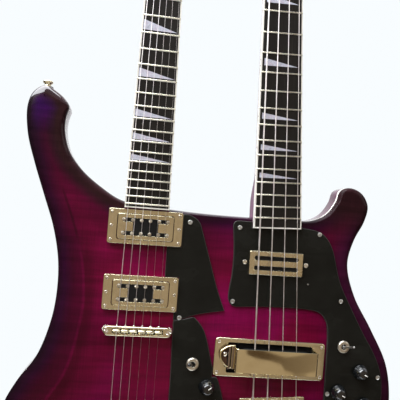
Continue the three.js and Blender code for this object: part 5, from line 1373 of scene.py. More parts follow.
def make_key(neck, head, number, side, x, z):
    """A key: a worm whose radius follows the cosine of the angle less the turns along it, its shaft,
    and a button whose outline is a flattened ellipse."""
    _, _, worm_y, drop = tuner_levels(neck)
    place = head @ shifted(x, worm_y, z - drop) @ np.diag([float(side), 1.0, 1.0, 1.0])
    worm = neck["worm_radius"]
    slim = worm * 0.62
    start = neck["head_width"] / 2 - neck["post_x"] + KEY_REACH
    along = np.linspace(-4.9, 4.9, 60)[:, None]
    angles = ring_angles(16)
    cos, sin = np.cos(angles), np.sin(angles)
    pitch = FULL_TURN * neck["gear_radius"] / neck["teeth"]
    thread = worm - 0.16 * worm * (1 + np.cos(angles - FULL_TURN * along / pitch))
    rings = np.stack([np.broadcast_to(along, thread.shape), thread * cos, thread * sin], axis=2)
    key = Shape().add(*skin(rings), 0, place)
    shaft = [(slim, -10.0), (slim, start - 1.2), (slim * 1.6, start - 1.0), (slim * 1.6, start + 0.4),
             (slim * 1.1, start + 1.6), (slim * 1.1, start + 3.0)]
    key.add(*lathe(shaft, place @ turned(-90, "Z"), 16))
    length, thick, wide = neck["button"]
    polar = np.linspace(0.03, math.pi - 0.03, 21)[:, None]
    bx = start + length / 2 - length / 2 * np.cos(polar) + 0 * angles
    swell = np.sin(polar) ** 0.72 * (0.86 + 0.14 * np.clip(-np.cos(polar), -1, 1))
    by = thick / 2 * swell * np.sign(cos) * np.abs(cos) ** 0.8
    bz = wide / 2 * np.minimum(swell * 1.12, 1.0) * np.sign(sin) * np.abs(sin) ** 0.8
    key.add(*skin(np.stack([bx, by, bz], axis=2)), 0, place)
    name = f"{neck['name']}_tuner_key_{number}"
    key.build(f"{neck['name']}_key_{number}", ["chrome"], slot="hardware", body=name, nodes=[name])


def make_tuners(neck):
    """Behind each headstock: plates with ears and screws, keys with a worm, posts with a toothed gear,
    and in front a collar and washer round each post."""
    head = head_matrix(neck)
    places = post_places(neck)
    for side, word in ((-1, "left"), (1, "right")):
        make_tuner_plate(neck, head, side, word)
    collars = Shape()
    r = neck["post_radius"]
    profile = [(r + 0.2, 0.4), (r + 3.6, 0.4), (r + 3.6, -0.4), (r + 3.3, -0.6), (r + 2.0, -0.9),
               (r + 1.6, -1.9), (r + 0.3, -2.1), (r + 0.2, -1.6)]
    for _, z, x in places:
        collars.add(*lathe(profile, head, 32, x, z))
    collars.build(f"{neck['name']}_post_collars", ["chrome"], slot="hardware")
    for number, (side, z, x) in enumerate(places, 1):
        make_post(neck, head, number, x, z)
        make_key(neck, head, number, side, x, z)


# Pickguards and pickups


def make_guards():
    """Three black plates whose edge is painted lighter as a highlight, their screws, and the controls' cans
    under them.
    """
    bevel = settings().guard_bevel / MM
    guards = {
        "guitar_guard_upper": ("guitar_pickguard_upper", UPPER_GUARD, None),
        "guitar_guard_lower": ("guitar_pickguard_lower", LOWER_GUARD, "guitar"),
        "bass_guard": ("bass_pickguard", BASS_GUARD, "bass"),
    }
    can = [(BUSHING_BORE, BUSHING_FACE), (4.1, BUSHING_FACE), (4.1, CAN_FACE), (12.0, CAN_FACE),
           (12.0, -29.0), (11.2, -28.4), (BUSHING_BORE, -28.4)]
    for name, (node, corners, controls) in guards.items():
        knobs = [place for knob, place in KNOBS.items() if controls and knob.startswith(controls)]
        holes = [circle(x, z, KNOB_HOLE, 20) for x, z in knobs]
        if controls:
            switch = SWITCHES[f"{controls}_switch_lever"][:2]
            holes.append(circle(*switch, SWITCH_HOLE, 20))
        if corners is BASS_GUARD:
            width, height = BASS_PICKUP_SIZE
            holes.append(rounded_rectangle(*BASS_PICKUP, width + 0.7, height + 0.7, 2.2))
        shape = add_plate(Shape(), rounded(corners), GUARD_FACE, GUARD_BACK, bevel=bevel, holes=holes,
                          hole_bevel=0.25, material=1, face=0)
        shape.build(name, ["guard", "guard_edge_highlight"], slot="pickguard", nodes=[node])
        if not controls:
            continue
        under = Shape()
        for x, z in knobs:
            under.add(*lathe(can, None, 32, x, z))
            add_plate(under, circle(x, z, 5.8, 6), -42.7, BUSHING_FACE, 0.4, [circle(x, z, 3.4, 16)])
            add_plate(under, circle(x, z, 7.4, 32), -40.95, -40.65, 0.1, [circle(x, z, 4.0, 16)])
        x, z = switch
        outline = box_outline((x - 7, x + 7, z - 7, z + 7), 1.0)
        add_plate(under, outline, CAN_FACE, -16.0, bevel=0.3, material=1)
        under.build(f"{name}_pots", ["screw", "coil"], slot="hardware", nodes=[node])

    screws = Shape()
    for n, (x, z) in enumerate(GUARD_SCREWS):
        add_screw(screws, (x, GUARD_FACE + 0.05, z), FRONTWARD, 2.9, 1.3, True, 0, 0.6 + 1.7 * n)
    add_screw(screws, (GUARD_DOT[0], GUARD_FACE + 0.05, GUARD_DOT[1]), FRONTWARD, 1.0, 0.5, False)
    screws.build("guard_screws", ["nickel"], slot="hardware")


def h_window(x, z):
    """An outline like a capital H on its side: two slots joined by a window between them."""
    near, far, corner = SLOT_OFFSET - SLOT_HALF, SLOT_OFFSET + SLOT_HALF, 0.9 * SLOT_HALF
    quarter = np.array([(WINDOW_REACH, near, 0.5), (SLOT_REACH, near, corner), (SLOT_REACH, far, corner)])
    upper = np.vstack([quarter, quarter[::-1] * (-1, 1, 1)])
    return rounded(np.vstack([upper, upper * (-1, -1, 1)]) + (x, z, 0.0), 4)


def make_guitar_pickups():
    """Plated covers in plated rings: a crowned cover with two slots joined by a window, black behind
    them, twelve pole screws, and small screws in the rings' ends."""
    width, height = RING_SIZE
    across, up = COVER_SIZE
    reach = across / 2 + 6.5
    for word, z in RING_HEIGHTS.items():
        mouth = rounded_rectangle(GUITAR_X, z, across + 2 * COVER_GAP, up + 2 * COVER_GAP, 3.4)
        outline = rounded_rectangle(GUITAR_X, z, width, height, 2.5)
        ring = add_plate(Shape(), outline, RING_FRONT, ON_TOP, bevel=0.4, holes=[mouth], hole_bevel=0.25)
        sides = (GUITAR_X - width / 2 + 4.2, GUITAR_X + width / 2 - 4.2)
        places = [(x, z + rise) for x in sides for rise in (-17.2, 0.0, 17.2)]
        add_front_screws(ring, places, RING_FRONT + 0.2, 1.9, 0.9, False, 1)
        ring.build(f"{word}_ring", ["chrome", "screw"], slot="hardware", nodes=[f"guitar_{word}_pickup_ring"])

        node = [f"guitar_{word}_pickup"]
        outline = rounded_rectangle(GUITAR_X, z, across, up, 3.0)
        cover = add_plate(Shape(), outline, COVER_FRONT, PICKUP_BACK - 1.0, bevel=0.5, hole_bevel=0.2,
                          holes=[h_window(GUITAR_X, z)], steps=4)
        for side in (-1, 1):
            add_screw(cover, (GUITAR_X + side * 38.4, -38.6, z), FRONTWARD, 1.8, 0.8, False, 1, 0.8)
        add_block(cover, GUITAR_X - reach, GUITAR_X + reach, PICKUP_BACK - 2.0, PICKUP_BACK - 0.6, z - 11.0,
                  z + 11.0, 0.6)
        cover.build(f"{word}_cover", ["chrome", "screw"], slot="hardware", nodes=node)
        outline = rounded_rectangle(GUITAR_X, z, across - 3, up - 3, 2.0)
        inside = add_plate(Shape(), outline, COVER_FRONT + 0.9, PICKUP_BACK - 2.0, bevel=0.2)
        inside.build(f"{word}_inner_coils", ["coil"], slot="coil", nodes=node)

        poles = Shape()
        for side in (-1, 1):
            for n in range(6):
                place = (GUITAR_X + POLE_SPREAD * (n / 5 - 0.5), COVER_FRONT + 0.25, z + side * SLOT_OFFSET)
                add_screw(poles, place, FRONTWARD, 2.2, 0.7, False, 0, 0.4 + n * 0.7 + side, 20)
        poles.build(f"{word}_poles", ["satin"], slot="hardware", nodes=node)


def make_bass_neck_pickup():
    """A plated cover with two black slots over its coil, on a foot, with a height screw on each side."""
    x, z = BASS_PICKUP
    width, height = BASS_PICKUP_SIZE
    far, reach, half = BASS_SLOTS
    slots = [stadium(x, z + side * far, reach, half) for side in (-1, 1)]
    outline = rounded_rectangle(x, z, width, height, 2.0)
    cover = add_plate(Shape(), outline, BASS_PICKUP_FRONT, PICKUP_BACK - 1.0, bevel=1.1, holes=slots,
                      hole_bevel=0.2, steps=4)
    add_block(cover, x - 45.0, x + 45.0, PICKUP_BACK - 2.0, PICKUP_BACK - 0.6, z - 9.0, z + 9.0, 0.6)
    for side in (-1, 1):
        add_screw(cover, (x + side * 41.0, GUARD_FACE, z), FRONTWARD, 2.9, 1.4, True, 1, 0.5 * side)
    cover.build("bass_neck_cover", ["chrome", "screw"], slot="hardware", nodes=["bass_neck_pickup"])
    outline = rounded_rectangle(x, z, width - 3, height - 3, 1.5)
    inside = add_plate(Shape(), outline, BASS_PICKUP_FRONT + 1.4, PICKUP_BACK - 2.0, bevel=0.2)
    inside.build("bass_neck_inner_coil", ["coil"], slot="coil", nodes=["bass_neck_pickup"])


def arched_profile(left, right, wall, bend):
    """One side of a sheet cover seen along its length: down to the surround at both ends, and a quarter
    circle between each wall and the front, where X and Y go by 1 - cos and 1 - sin of its angle."""
    turns = np.linspace(0.0, 0.5 * math.pi, 7)
    away, drop = bend * (1 - np.cos(turns)), bend * (1 - np.sin(turns))
    face, foot = COVER_RAISED + wall, SURROUND_FRONT - 0.3
    rise = np.column_stack([left + wall + away, face + drop])
    fall = np.column_stack([right - wall - drop, face + away])
    return np.vstack([(left + wall, foot), rise, fall, (right - wall, foot)])


def make_bass_bridge_pickup():
    """A plated surround round a raised cover with a half-round boss, its bars and its screw, and under
    them the coil and dark plates that paint the hollow's shade."""
    middle = np.array([SURROUND[0] + SURROUND[1], 0.0, SURROUND[2] + SURROUND[3]]) / 2
    turn = shifted(*middle) @ turned(SURROUND_TURN, "Y") @ shifted(*-middle)
    left, right, bottom, top = SURROUND
    mouth = box_outline(SURROUND_MOUTH, 2.0)
    surround = add_plate(Shape(), box_outline(SURROUND, 5.0), SURROUND_FRONT, ON_TOP, bevel=1.0,
                         holes=[mouth], hole_bevel=0.3, matrix=turn)
    places = [(x, z) for x in (left + 5, right - 5) for z in (bottom + 5, top - 5)]
    add_front_screws(surround, places, SURROUND_FRONT + 0.1, 2.0, 1.0, True, 1, matrix=turn)
    surround.build("bass_bridge_surround", ["chrome", "screw"], slot="hardware",
                   nodes=["bass_bridge_pickup_surround"])

    left, right, bottom, top = COVER_BOX
    wall, bend = 1.6, 2.6
    outer = arched_profile(left, right, 0.0, bend)
    flat = [(left + bend + 0.5, COVER_RAISED), (right - bend - 0.5, COVER_RAISED)]
    inner = arched_profile(left, right, wall, bend - wall)
    profile = np.vstack([outer[:8], flat, outer[8:], inner[::-1]])
    sense = 1 if signed_area(profile) > 0 else -1
    rings = []
    for level, inset in ((bottom, 0.35), (bottom + 0.35, 0.0), (top - 0.35, 0.0), (top, 0.35)):
        loop = profile + left_normals(profile) * inset * sense
        rings.append(np.column_stack([loop, np.full(len(loop), level)]))
    cover = Shape().add(*skin(rings), 0, turn)
    x, z, radius, front = BOSS
    foot = SURROUND_FRONT - 0.1
    dome = rounded([
        (x - radius, z, 3), (x - radius, z + 5.0, 9), (x - 3.0, z + radius - 1.0, 9),
        (left + 1.0, z + radius, 1), (left + 1.0, z - 17.0, 1), (x - 2.0, z - 16.0, 6),
        (x - radius + 2.0, z - 8.0, 9)])
    hollow = rounded([
        (x - radius + 2.0, z, 3), (x - radius + 2.6, z + 4.0, 7), (x - 3.0, z + radius - 3.2, 7),
        (x + 2.5, z + radius - 2.4, 0.5), (x + 2.5, z - 14.6, 0.5), (x - 2.0, z - 14.0, 5),
        (x - radius + 3.6, z - 7.0, 8)])
    add_plate(cover, dome, front, foot, bevel=0.9, holes=[hollow], hole_bevel=0.3, matrix=turn)
    add_plate(cover, dome, front + 2.4, foot, bevel=0.2, material=2, matrix=turn)
    add_front_screws(cover, [(x - 5.2, z + 0.6)], front + 2.3, 2.6, 1.6, True, 1, matrix=turn)
    for bar in (x - 0.2, x + 4.6):
        add_block(cover, bar - 1.5, bar + 1.5, front - 0.6, front + 2.6, z - 17.0, z + 11.5, 0.5, 3, turn)
    # A dark block between and behind the bars: painted shade in the boss's hollow
    add_block(cover, x - 2.4, x + 6.4, front + 0.8, front + 2.5, z - 17.6, z + 11.0, 0.3, 4, turn)
    cover.build("bass_bridge_raised_cover", ["cover", "screw", "brown", "dusky", "dark"], slot="hardware",
                nodes=["bass_bridge_pickup_cover"])

    coil = add_plate(Shape(), box_outline(COIL_BOX, 3.0), -46.0, -10.0, bevel=1.0, matrix=turn)
    for n in range(4):
        pole = [(0.1, -46.8), (2.2, -46.8), (2.5, -46.5), (2.5, -45.5)]
        coil.add(*lathe(pole, turn, 20, COIL_BOX[0] + 14.0 + n * 20.0, -30.4), 1)
    coil.build("bass_bridge_coil", ["coil", "steel"], slot="coil", nodes=["bass_bridge_pickup"])
    # A dark plate under the surround's mouth: painted shade of the hollow under the raised cover
    well = add_plate(Shape(), mouth, TOP_FACE - 0.35, TOP_FACE + 0.6, bevel=0.0, matrix=turn)
    well.build("bass_bridge_hollow_shade", ["dark"], slot="coil")


# Bridges, controls and fittings


def add_saddle(shape, x, z, width, length, foot, material=0, matrix=None):
    """A saddle seen from the side as a roof with a rounded ridge, drawn across its width."""
    shoulder = foot + 0.45 * (SADDLE_TOP - foot)
    side = rounded([
        (z - length / 2, foot, 0.2), (z - length / 2, shoulder, 0.5), (z - 0.8, SADDLE_TOP, 1.2),
        (z + 0.8, SADDLE_TOP, 1.2), (z + length / 2, shoulder, 0.5), (z + length / 2, foot, 0.2),
    ], 4)
    middle = side.mean(axis=0)
    rings = []
    half = width / 2
    for place, share in ((-half, 0.93), (0.3 - half, 1.0), (half - 0.3, 1.0), (half, 0.93)):
        loop = middle + (side - middle) * share
        rings.append(np.column_stack([np.full(len(loop), x + place), loop[:, ::-1]]))
    shape.add(*skin(rings), material, matrix)


def make_guitar_bridge():
    """A rounded bar on two posts, with a saddle and its screw for each string, and behind it a tailpiece."""
    matrix = neck_matrix(GUITAR)
    pocket = box_outline((-31.2, 31.2, -2.9, 3.4), 0.8)
    bridge = add_plate(Shape(), stadium(0.0, 0.0, 42.0, 6.0, 10), -49.4, -43.6, bevel=1.6, holes=[pocket],
                       hole_bevel=0.3, matrix=matrix, steps=4)
    add_plate(bridge, stadium(0.0, 0.0, 41.0, 5.0, 10), -45.0, -43.4, bevel=0.2, material=2, matrix=matrix)
    rod = [(0.3, -0.9), (1.5, -0.9), (1.75, -0.5), (1.75, 0.4), (0.8, 0.5), (0.8, 9.0), (0.2, 9.0)]
    for n in range(6):
        x = string_x(GUITAR, n, GUITAR["saddle_spread"])
        add_saddle(bridge, x, 0.2, 8.8, 5.9, -44.6, 0, matrix)
        head = aimed((GUITAR_X + x, -47.0, 6.6), UPWARD, INWARD) @ turned(-90, "X")
        bridge.add(*lathe(rod, head, 16), 1)
    for side in (-1, 1):
        px = GUITAR_X + side * 38.0
        add_screw(bridge, (px, -49.3, 0.0), FRONTWARD, 2.7, 1.0, False, 1, 0.4 * side)
        bridge.add(*lathe([(0.3, -44.0), (2.4, -44.0), (2.4, -30.0), (0.3, -30.0)], None, 20, px, 0.0), 1)
        add_plate(bridge, gear_outline(5.6, 22) + (px, 0.0), -41.0, -38.3, bevel=0.3, material=1)
    bridge.build("guitar_bridge_bar", ["chrome", "bright", "coil"], slot="hardware", nodes=["guitar_bridge"])

    outline = stadium(0.0, -105.2, 33.0, 5.2, 10)
    tail = add_plate(Shape(), outline, -48.0, -41.2, bevel=2.0, matrix=matrix, steps=5)
    for side in (-1, 1):
        path = np.linspace((side * 25.0, TAILPIECE_Y, -104.5), (side * 9.0, TAILPIECE_Y, -188.5), 12)
        tail.add(*tube(path, 2.0, 12), 0, matrix)
    bar = np.linspace((-16.0, TAILPIECE_Y, -189.0), (16.0, TAILPIECE_Y, -189.0), 6)
    tail.add(*tube(bar, 2.3, 14), 0, matrix)
    edge = BODY_BOTTOM + 6.0
    bend = rounded([
        (-188.0, -38.3, 0.3), (-188.0, -40.0, 0.5), (edge, -40.0, 4), (-212.6, -36.0, 4),
        (-212.6, -16.0, 0.5), (-211.2, -16.0, 0.3), (-211.2, -35.4, 3), (edge + 0.4, -38.3, 3)], 4)
    rings = [np.column_stack([np.full(len(bend), x), bend[:, ::-1]]) for x in (-16.0, 16.0)]
    tail.add(*skin(rings), 0, matrix)
    for x in (-9.0, 9.0):
        add_screw(tail, (GUITAR_X + x, -24.0, -212.4), DOWNWARD, 2.4, 0.4, True, 1)
    tail.build("guitar_tailpiece_bar", ["chrome", "screw"], slot="hardware", nodes=["guitar_tailpiece"])


def make_bass_bridge():
    """A base plate with a wall at its tail, four saddle blocks, and each one's length and height screws."""
    matrix = neck_matrix(BASS)
    outline = box_outline((-43.0, 43.0, -53.0, 11.0), 2.0)
    shape = add_plate(Shape(), outline, -40.7, -38.3, bevel=0.6, matrix=matrix)
    add_block(shape, -43.0, 43.0, -52.0, -40.0, -53.0, -44.0, 0.9, 0, matrix)
    for n in range(4):
        x = string_x(BASS, n, BASS["saddle_spread"])
        add_saddle(shape, x, 0.0, 14.0, 12.0, -41.6, 1, matrix)
        rod = np.linspace((x, -43.4, -44.5), (x, -43.4, -5.5), 40)
        shape.add(*tube(rod, 1.2 - 0.12 * (np.arange(40) % 2), 10, SIDEWAYS), 2, matrix)
        for side in (-1, 1):
            place = placed((x + side * 4.6, -47.6, -2.5), matrix)
            add_screw(shape, place, FRONTWARD, 1.3, 1.2, False, 2, 0.5, 16)
        add_screw(shape, placed((x, -44.5, -53.0), matrix), DOWNWARD, 2.0, 0.8, True, 2, 0.2)
    places = [(-34.0, 6.0), (0.0, 6.5), (34.0, 6.0), (-38.0, -38.0), (38.0, -38.0)]
    add_front_screws(shape, places, -40.6, 2.8, 1.2, True, 2, matrix)
    shape.build("bass_bridge_base", ["chrome", "bright", "screw"], slot="hardware", nodes=["bass_bridge"])


def make_knobs():
    """Black knobs: a rounded cone that narrows to a small face, ribbed where its radius follows the
    cosine of the angle times the ribs' count, over a smooth skirt, with a pale pointer on the face."""
    profile = bent_profile(KNOB_PROFILE, 5)
    angles = ring_angles(KNOB_SIDES)
    level = profile[:, 1:]
    ribbed = (level > RIB_FRONT) & (level < RIB_BACK)
    ribs = np.where(ribbed, RIB_DEPTH * np.cos(angles * RIB_COUNT), 0.0)
    radius = np.maximum(profile[:, :1] + ribs, 0.05)
    level = np.broadcast_to(level, radius.shape)
    cap = np.stack([radius * np.cos(angles), level, radius * np.sin(angles)], axis=2)
    reach = np.linspace(0.8, 5.2, 9)
    front = profile[:np.argmax(profile[:, 0])]
    height = np.interp(reach, front[:, 0], front[:, 1]) - 0.12
    for name, (x, z) in KNOBS.items():
        shape = Shape().add(*skin(cap + (x, 0.0, z)))
        turn = math.radians(POINTER_ANGLES[name])
        path = np.stack([x + reach * math.cos(turn), height, z + reach * math.sin(turn)], axis=1)
        shape.add(*tube(path, 0.62, 8), 1)
        shape.add(*lathe([(2.9, -45.0), (2.9, -30.5), (0.3, -30.5), (0.3, -45.0)], None, 20, x, z), 2)
        shape.build(f"{name}_cap", ["knob", "white", "screw"], slot="knob", body=name, nodes=[name])


def make_switches():
    """Each switch: a rounded ring nut over a washer, a dark disc of painted shade in the nut's hole, and a
    lever that widens to a rounded tip.
    """
    for name, (x, z, lean, towards, cap, coat) in SWITCHES.items():
        bore, slack = circle(x, z, 3.4, 24), circle(x, z, 4.0, 20)
        shape = add_plate(Shape(), circle(x, z, 8.2, 48), -44.3, -40.9, 2.2, [bore], 1.0)
        # A dark disc in the nut's hole: painted shade of the hole; the washer below takes the same dark
        # finish
        add_plate(shape, circle(x, z, 3.5, 20), -41.4, -40.9, bevel=0.1, material=1)
        add_plate(shape, circle(x, z, 8.6, 32), -40.98, -40.66, bevel=0.1, holes=[slack], material=1)
        node = ["guitar_pickguard_lower"] if name.startswith("guitar") else ["bass_pickguard"]
        shape.build(f"{name}_nut", ["satin", "dark"], slot="hardware", nodes=node)
        a, b = math.radians(lean), math.radians(towards)
        direction = (math.sin(a) * math.cos(b), -math.cos(a), math.sin(a) * math.sin(b))
        profile = bent_profile([
            (0.2, -2.3, 0), (1.4, -2.0, 0.5), (2.2, -0.6, 0.8), (2.1, 0.8, 0.8), (1.2, 2.2, 1.0),
            (1.1, 8.0, 1.0), (1.1, 13.6, 0.2), (cap, 13.8, 0.6), (cap, 20.4, 0.8), (0.65 * cap, 21.6, 0.5),
            (0.2, 21.9, 0),
        ], 5)
        lever = Shape().add(*lathe(profile, aimed((x, -42.5, z), direction, INWARD) @ turned(90, "X"), 20))
        lever.build(f"{name}_bat", [coat], slot="hardware", body=name, nodes=[name])


def make_fittings():
    """The plate with two sockets in the lower edge, and a strap button on the horn and at the tail."""
    left, right, back, front, level = JACK_PLATE
    turn = np.eye(4)[[0, 2, 1, 3]]
    holes = [circle(x, EDGE_MIDDLE, 3.3, 20) for x in SOCKETS]
    outline = box_outline((left, right, back, front), 3.0)
    shape = add_plate(Shape(), outline, level, level + 1.3, 0.5, holes, 0.3, matrix=turn)
    for x in SOCKETS:
        bore = [circle(x, EDGE_MIDDLE, 3.35, 20)]
        ring, barrel = circle(x, EDGE_MIDDLE, 6.5, 6), circle(x, EDGE_MIDDLE, 5.0, 24)
        add_plate(shape, ring, level - 2.5, level, 0.5, bore, 0.3, material=1, matrix=turn)
        # The sockets' barrels in the dark finish: painted shade down the bores
        add_plate(shape, barrel, level + 1.0, level + 22.0, 0.1, bore, 0.2, material=2, matrix=turn)
    for x in (left + 4.0, right - 4.0):
        for y in (back + 4.0, front - 4.0):
            add_screw(shape, (x, y, level), DOWNWARD, 1.9, 0.5, True, 1, x)
    shape.build("socket_plate", ["chrome", "screw", "dark"], slot="hardware", nodes=["jack_plate"])

    profile = bent_profile([
        (0.2, 0.3, 0), (5.6, 0.3, 0.4), (5.6, 0.9, 0.4), (4.0, 2.0, 1.2), (3.9, 4.2, 1.2), (6.2, 5.6, 0.6),
        (6.35, 7.2, 0.5), (5.6, 8.4, 0.8), (2.6, 8.75, 0.2), (BUTTON_SCREW, 8.3, 0.1), (0.2, 8.3, 0),
    ], 5)
    for name, (x, z, up) in STRAP_BUTTONS.items():
        out = (0.0, 0.0, float(up))
        place = aimed((x, BUTTON_Y, z), out, INWARD) @ turned(90, "X")
        button = Shape().add(*lathe(profile, place, 32))
        add_screw(button, (x, BUTTON_Y, z + up * 8.1), out, BUTTON_SCREW - 0.1, 0.8, True, 1, 0.5)
        button.add(*lathe([(1.0, 0.7), (7.0, 0.7), (7.2, 0.3), (7.0, -0.4), (1.0, -0.4)], place, 28), 2)
        button.build(f"{name}_turned", ["chrome", "screw", "felt"], slot="hardware", nodes=[name])


# Stage


def room_colours(tree):
    """What the room shines with by direction: tan in front with one dark streak, white behind, bright
    behind and above, dim at the sides. The streak's middle and half its width follow how far a
    direction leans to the right, as seen on a flat mirror that faces the front."""
    tan = settings().room_colour
    n = Nodes(tree, tree.nodes.new("ShaderNodeTexCoord").outputs["Generated"])
    x, y, z = (n.axis(name) for name in "XYZ")
    front = n.mix(n.span(n.noise((7.0, 7.0, 7.0), 2.0), 0.36, 0.6), toned(tan, 0.8), tan)

    ahead = n.math("MAXIMUM", n.times(y, -1.0), 0.05)
    lean = n.span(n.math("DIVIDE", x, ahead), *STREAK_LEAN)
    drop = n.span(n.math("DIVIDE", z, ahead), *STREAK_DROP)
    middle, half, depth = n.add("SeparateColor", Color=n.ramp(lean, STREAK_STOPS)).outputs
    off = n.math("ABSOLUTE", n.math("SUBTRACT", drop, middle))
    inside = n.span(n.math("SUBTRACT", n.times(half, 0.4), off), -0.02, 0.03)
    dark = tuple(c * k for c, k in zip(tan, (0.2, 0.16, 0.13)))
    front = n.mix(n.times(inside, depth), front, dark)

    above = n.mix(n.span(y, 0.0, 0.4), (0.32, 0.32, 0.34), (1.5, 1.5, 1.55))
    room = n.mix(n.span(y, -0.85, -0.6), front, (0.10, 0.075, 0.06))
    room = n.mix(n.span(y, 0.45, 0.9), room, (0.75, 0.76, 0.78))
    return n.mix(n.span(z, 0.3, 0.6), room, above)


def linked(name, data):
    """A new object in the scene for a mesh, a light or a camera."""
    thing = bpy.data.objects.new(name, data)
    bpy.context.scene.collection.objects.link(thing)
    return thing


def make_world():
    """A pale surrounding as the camera sees it, which shines with the room's colours on all else."""
    world = bpy.data.worlds.new("studio")
    bpy.context.scene.world = world
    world.use_nodes = True
    tree = world.node_tree
    tree.nodes.clear()
    n = Nodes(tree, None)
    seen = n.add("Background", Color=(0.94, 0.98, 1.0))
    glow = n.add("Background", Color=room_colours(tree), Strength=settings().room_strength)
    mix = n.add("MixShader")
    shares = (n.add("LightPath").outputs["Is Camera Ray"], glow.outputs[0], seen.outputs[0])
    for value, socket in zip(shares, mix.inputs):
        n.put(value, socket)
    n.add("OutputWorld", Surface=mix.outputs[0])


def make_stage():
    """A pale floor, soft lights, a pale surrounding that shines dim and warm, and the camera."""
    s = settings()
    floor = bpy.data.meshes.new("floor")
    ring = np.column_stack([circle(0.0, 0.0, FLOOR_RADIUS, 64), np.full(64, FLOOR_Z)]) * MM
    floor.from_pydata(ring, [], [tuple(range(64))])
    f = Finish("floor_pale", roughness=0.9)
    f.colour(f.mix(f.noise((3.0, 3.0, 3.0)), (0.86, 0.88, 0.9), (0.9, 0.92, 0.93)))
    floor.materials.append(f.material)
    linked("floor", floor)
    make_world()

    lights = {
        "window": (WINDOW_PLACE, WINDOW_SIZE, s.key_power, (0.93, 0.96, 1.0)),
        "front": ((-1.9, -1.5, 1.3), (1.0, 1.0), s.front_power, (1.0, 0.98, 0.95)),
        "fill": ((2.4, -1.3, 1.3), (1.6, 1.6), s.fill_power, (1.0, 0.95, 0.9)),
        "back": ((0.4, 2.2, 1.2), (2.0, 2.0), s.back_power, (1.0, 1.0, 1.0)),
    }
    for name, (place, size, power, tint) in lights.items():
        data = bpy.data.lights.new(name, "AREA")
        data.shape = "RECTANGLE"
        data.size, data.size_y = size
        data.energy = power
        data.color = tint
        lamp = linked(name, data)
        lamp.location = place
        lamp.rotation_euler = (Vector(LIT_POINT) - Vector(place)).to_track_quat("-Z", "Y").to_euler()
        if name == "window":
            lamp.rotation_euler = Matrix(WINDOW_AXES).transposed().to_euler()

    data = bpy.data.cameras.new("camera")
    data.lens = CAMERA_LENS
    data.sensor_width = 36.0
    data.clip_start = 0.05
    scene = bpy.context.scene
    scene.camera = linked("camera", data)
    turn = Matrix((CAMERA_RIGHT, CAMERA_UP, CAMERA_BACK)).transposed().to_4x4()
    scene.camera.matrix_world = Matrix.Translation(Vector(CAMERA_PLACE) * MM) @ turn
    scene.view_settings.view_transform = "Standard"
    scene.view_settings.look = "None"


# Add-on


class GuitarDresserSettings(bpy.types.PropertyGroup):
    """Sizes, colours and lights that a user may want to change."""

    outline_points: IntProperty(
        name="Outline points", description="Points round the body's outline", default=420, min=120)
    guard_bevel: FloatProperty(
        name="Guard bevel", description="Rounding of the pickguards' edge", default=0.0009, unit="LENGTH")
    extra_wraps: FloatProperty(
        name="Extra wraps", description="More turns of each string round its post", default=0.0)
    flame_strength: FloatProperty(
        name="Flame", description="Contrast of the figure in the maple", default=0.3, subtype="FACTOR")
    burst_centre: FloatVectorProperty(
        name="Centre", description="Stain in the middle of the top", default=(0.165, 0.0008, 0.029),
        subtype="COLOR")
    burst_pink: FloatVectorProperty(
        name="Pinker", description="Stain where the middle is pinker", default=(0.18, 0.0004, 0.05),
        subtype="COLOR")
    lower_shade: FloatProperty(
        name="Lower shade", description="How bright the stain is at the lower edge", default=0.45,
        subtype="FACTOR")
    burst_middle: FloatVectorProperty(
        name="Middle", description="Stain between middle and edge", default=(0.088, 0.0004, 0.017),
        subtype="COLOR")
    burst_edge: FloatVectorProperty(
        name="Edge", description="Stain near the edge", default=(0.022, 0.0006, 0.012), subtype="COLOR")
    burst_rim: FloatVectorProperty(
        name="Rim", description="Stain on the very edge", default=(0.008, 0.003, 0.005), subtype="COLOR")
    neck_stain: FloatVectorProperty(
        name="Necks", description="Stain of the necks", default=(0.11, 0.012, 0.07), subtype="COLOR")
    horn_tint: FloatVectorProperty(
        name="Horn", description="Stain of the left horn", default=(0.022, 0.0002, 0.05), subtype="COLOR")
    side_tint: FloatVectorProperty(
        name="Side", description="Stain of the right side", default=(0.042, 0.0045, 0.022), subtype="COLOR")
    # Brown is also the colour of the painted shade along the left cutaway's inner edge
    brown_tint: FloatVectorProperty(
        name="Brown", description="Stain of the right horn", default=(0.018, 0.005, 0.0065),
        subtype="COLOR")
    back_stain: FloatVectorProperty(
        name="Back", description="Stain of the back and necks", default=(0.07, 0.010, 0.036),
        subtype="COLOR")
    binding_colour: FloatVectorProperty(
        name="Binding", description="Cream of the bindings", default=(0.72, 0.7, 0.64), subtype="COLOR")
    board_colour: FloatVectorProperty(
        name="Board", description="Fretboard wood", default=(0.013, 0.011, 0.009), subtype="COLOR")
    guard_colour: FloatVectorProperty(
        name="Guard", description="Pickguard plastic", default=(0.0085, 0.0088, 0.0075), subtype="COLOR")
    plate_colour: FloatVectorProperty(
        name="Plating", description="Warm plated metal", default=(0.79, 0.74, 0.54), subtype="COLOR")
    room_colour: FloatVectorProperty(
        name="Room", description="Colour that the room shines with", default=(0.43, 0.33, 0.235),
        subtype="COLOR")
    room_strength: FloatProperty(
        name="Room light", description="How much the room shines", default=1.0, min=0.0)
    key_power: FloatProperty(
        name="Window light", description="Power of the window overhead in watts", default=170.0, min=0.0)
    front_power: FloatProperty(
        name="Front light", description="Power of the light at the front left in watts", default=3.0,
        min=0.0)
    fill_power: FloatProperty(
        name="Fill light", description="Power of the wide light in watts", default=15.0, min=0.0)
    back_power: FloatProperty(
        name="Back light", description="Power of the light behind in watts", default=2.0, min=0.0)


class GUITAR_OT_body(bpy.types.Operator):
    """Builds the back, the binding and the carved top."""

    bl_idname = "guitar.body"
    bl_label = "Body"

    def execute(self, context):
        """Makes the body's three pieces."""
        make_body()
        return {"FINISHED"}


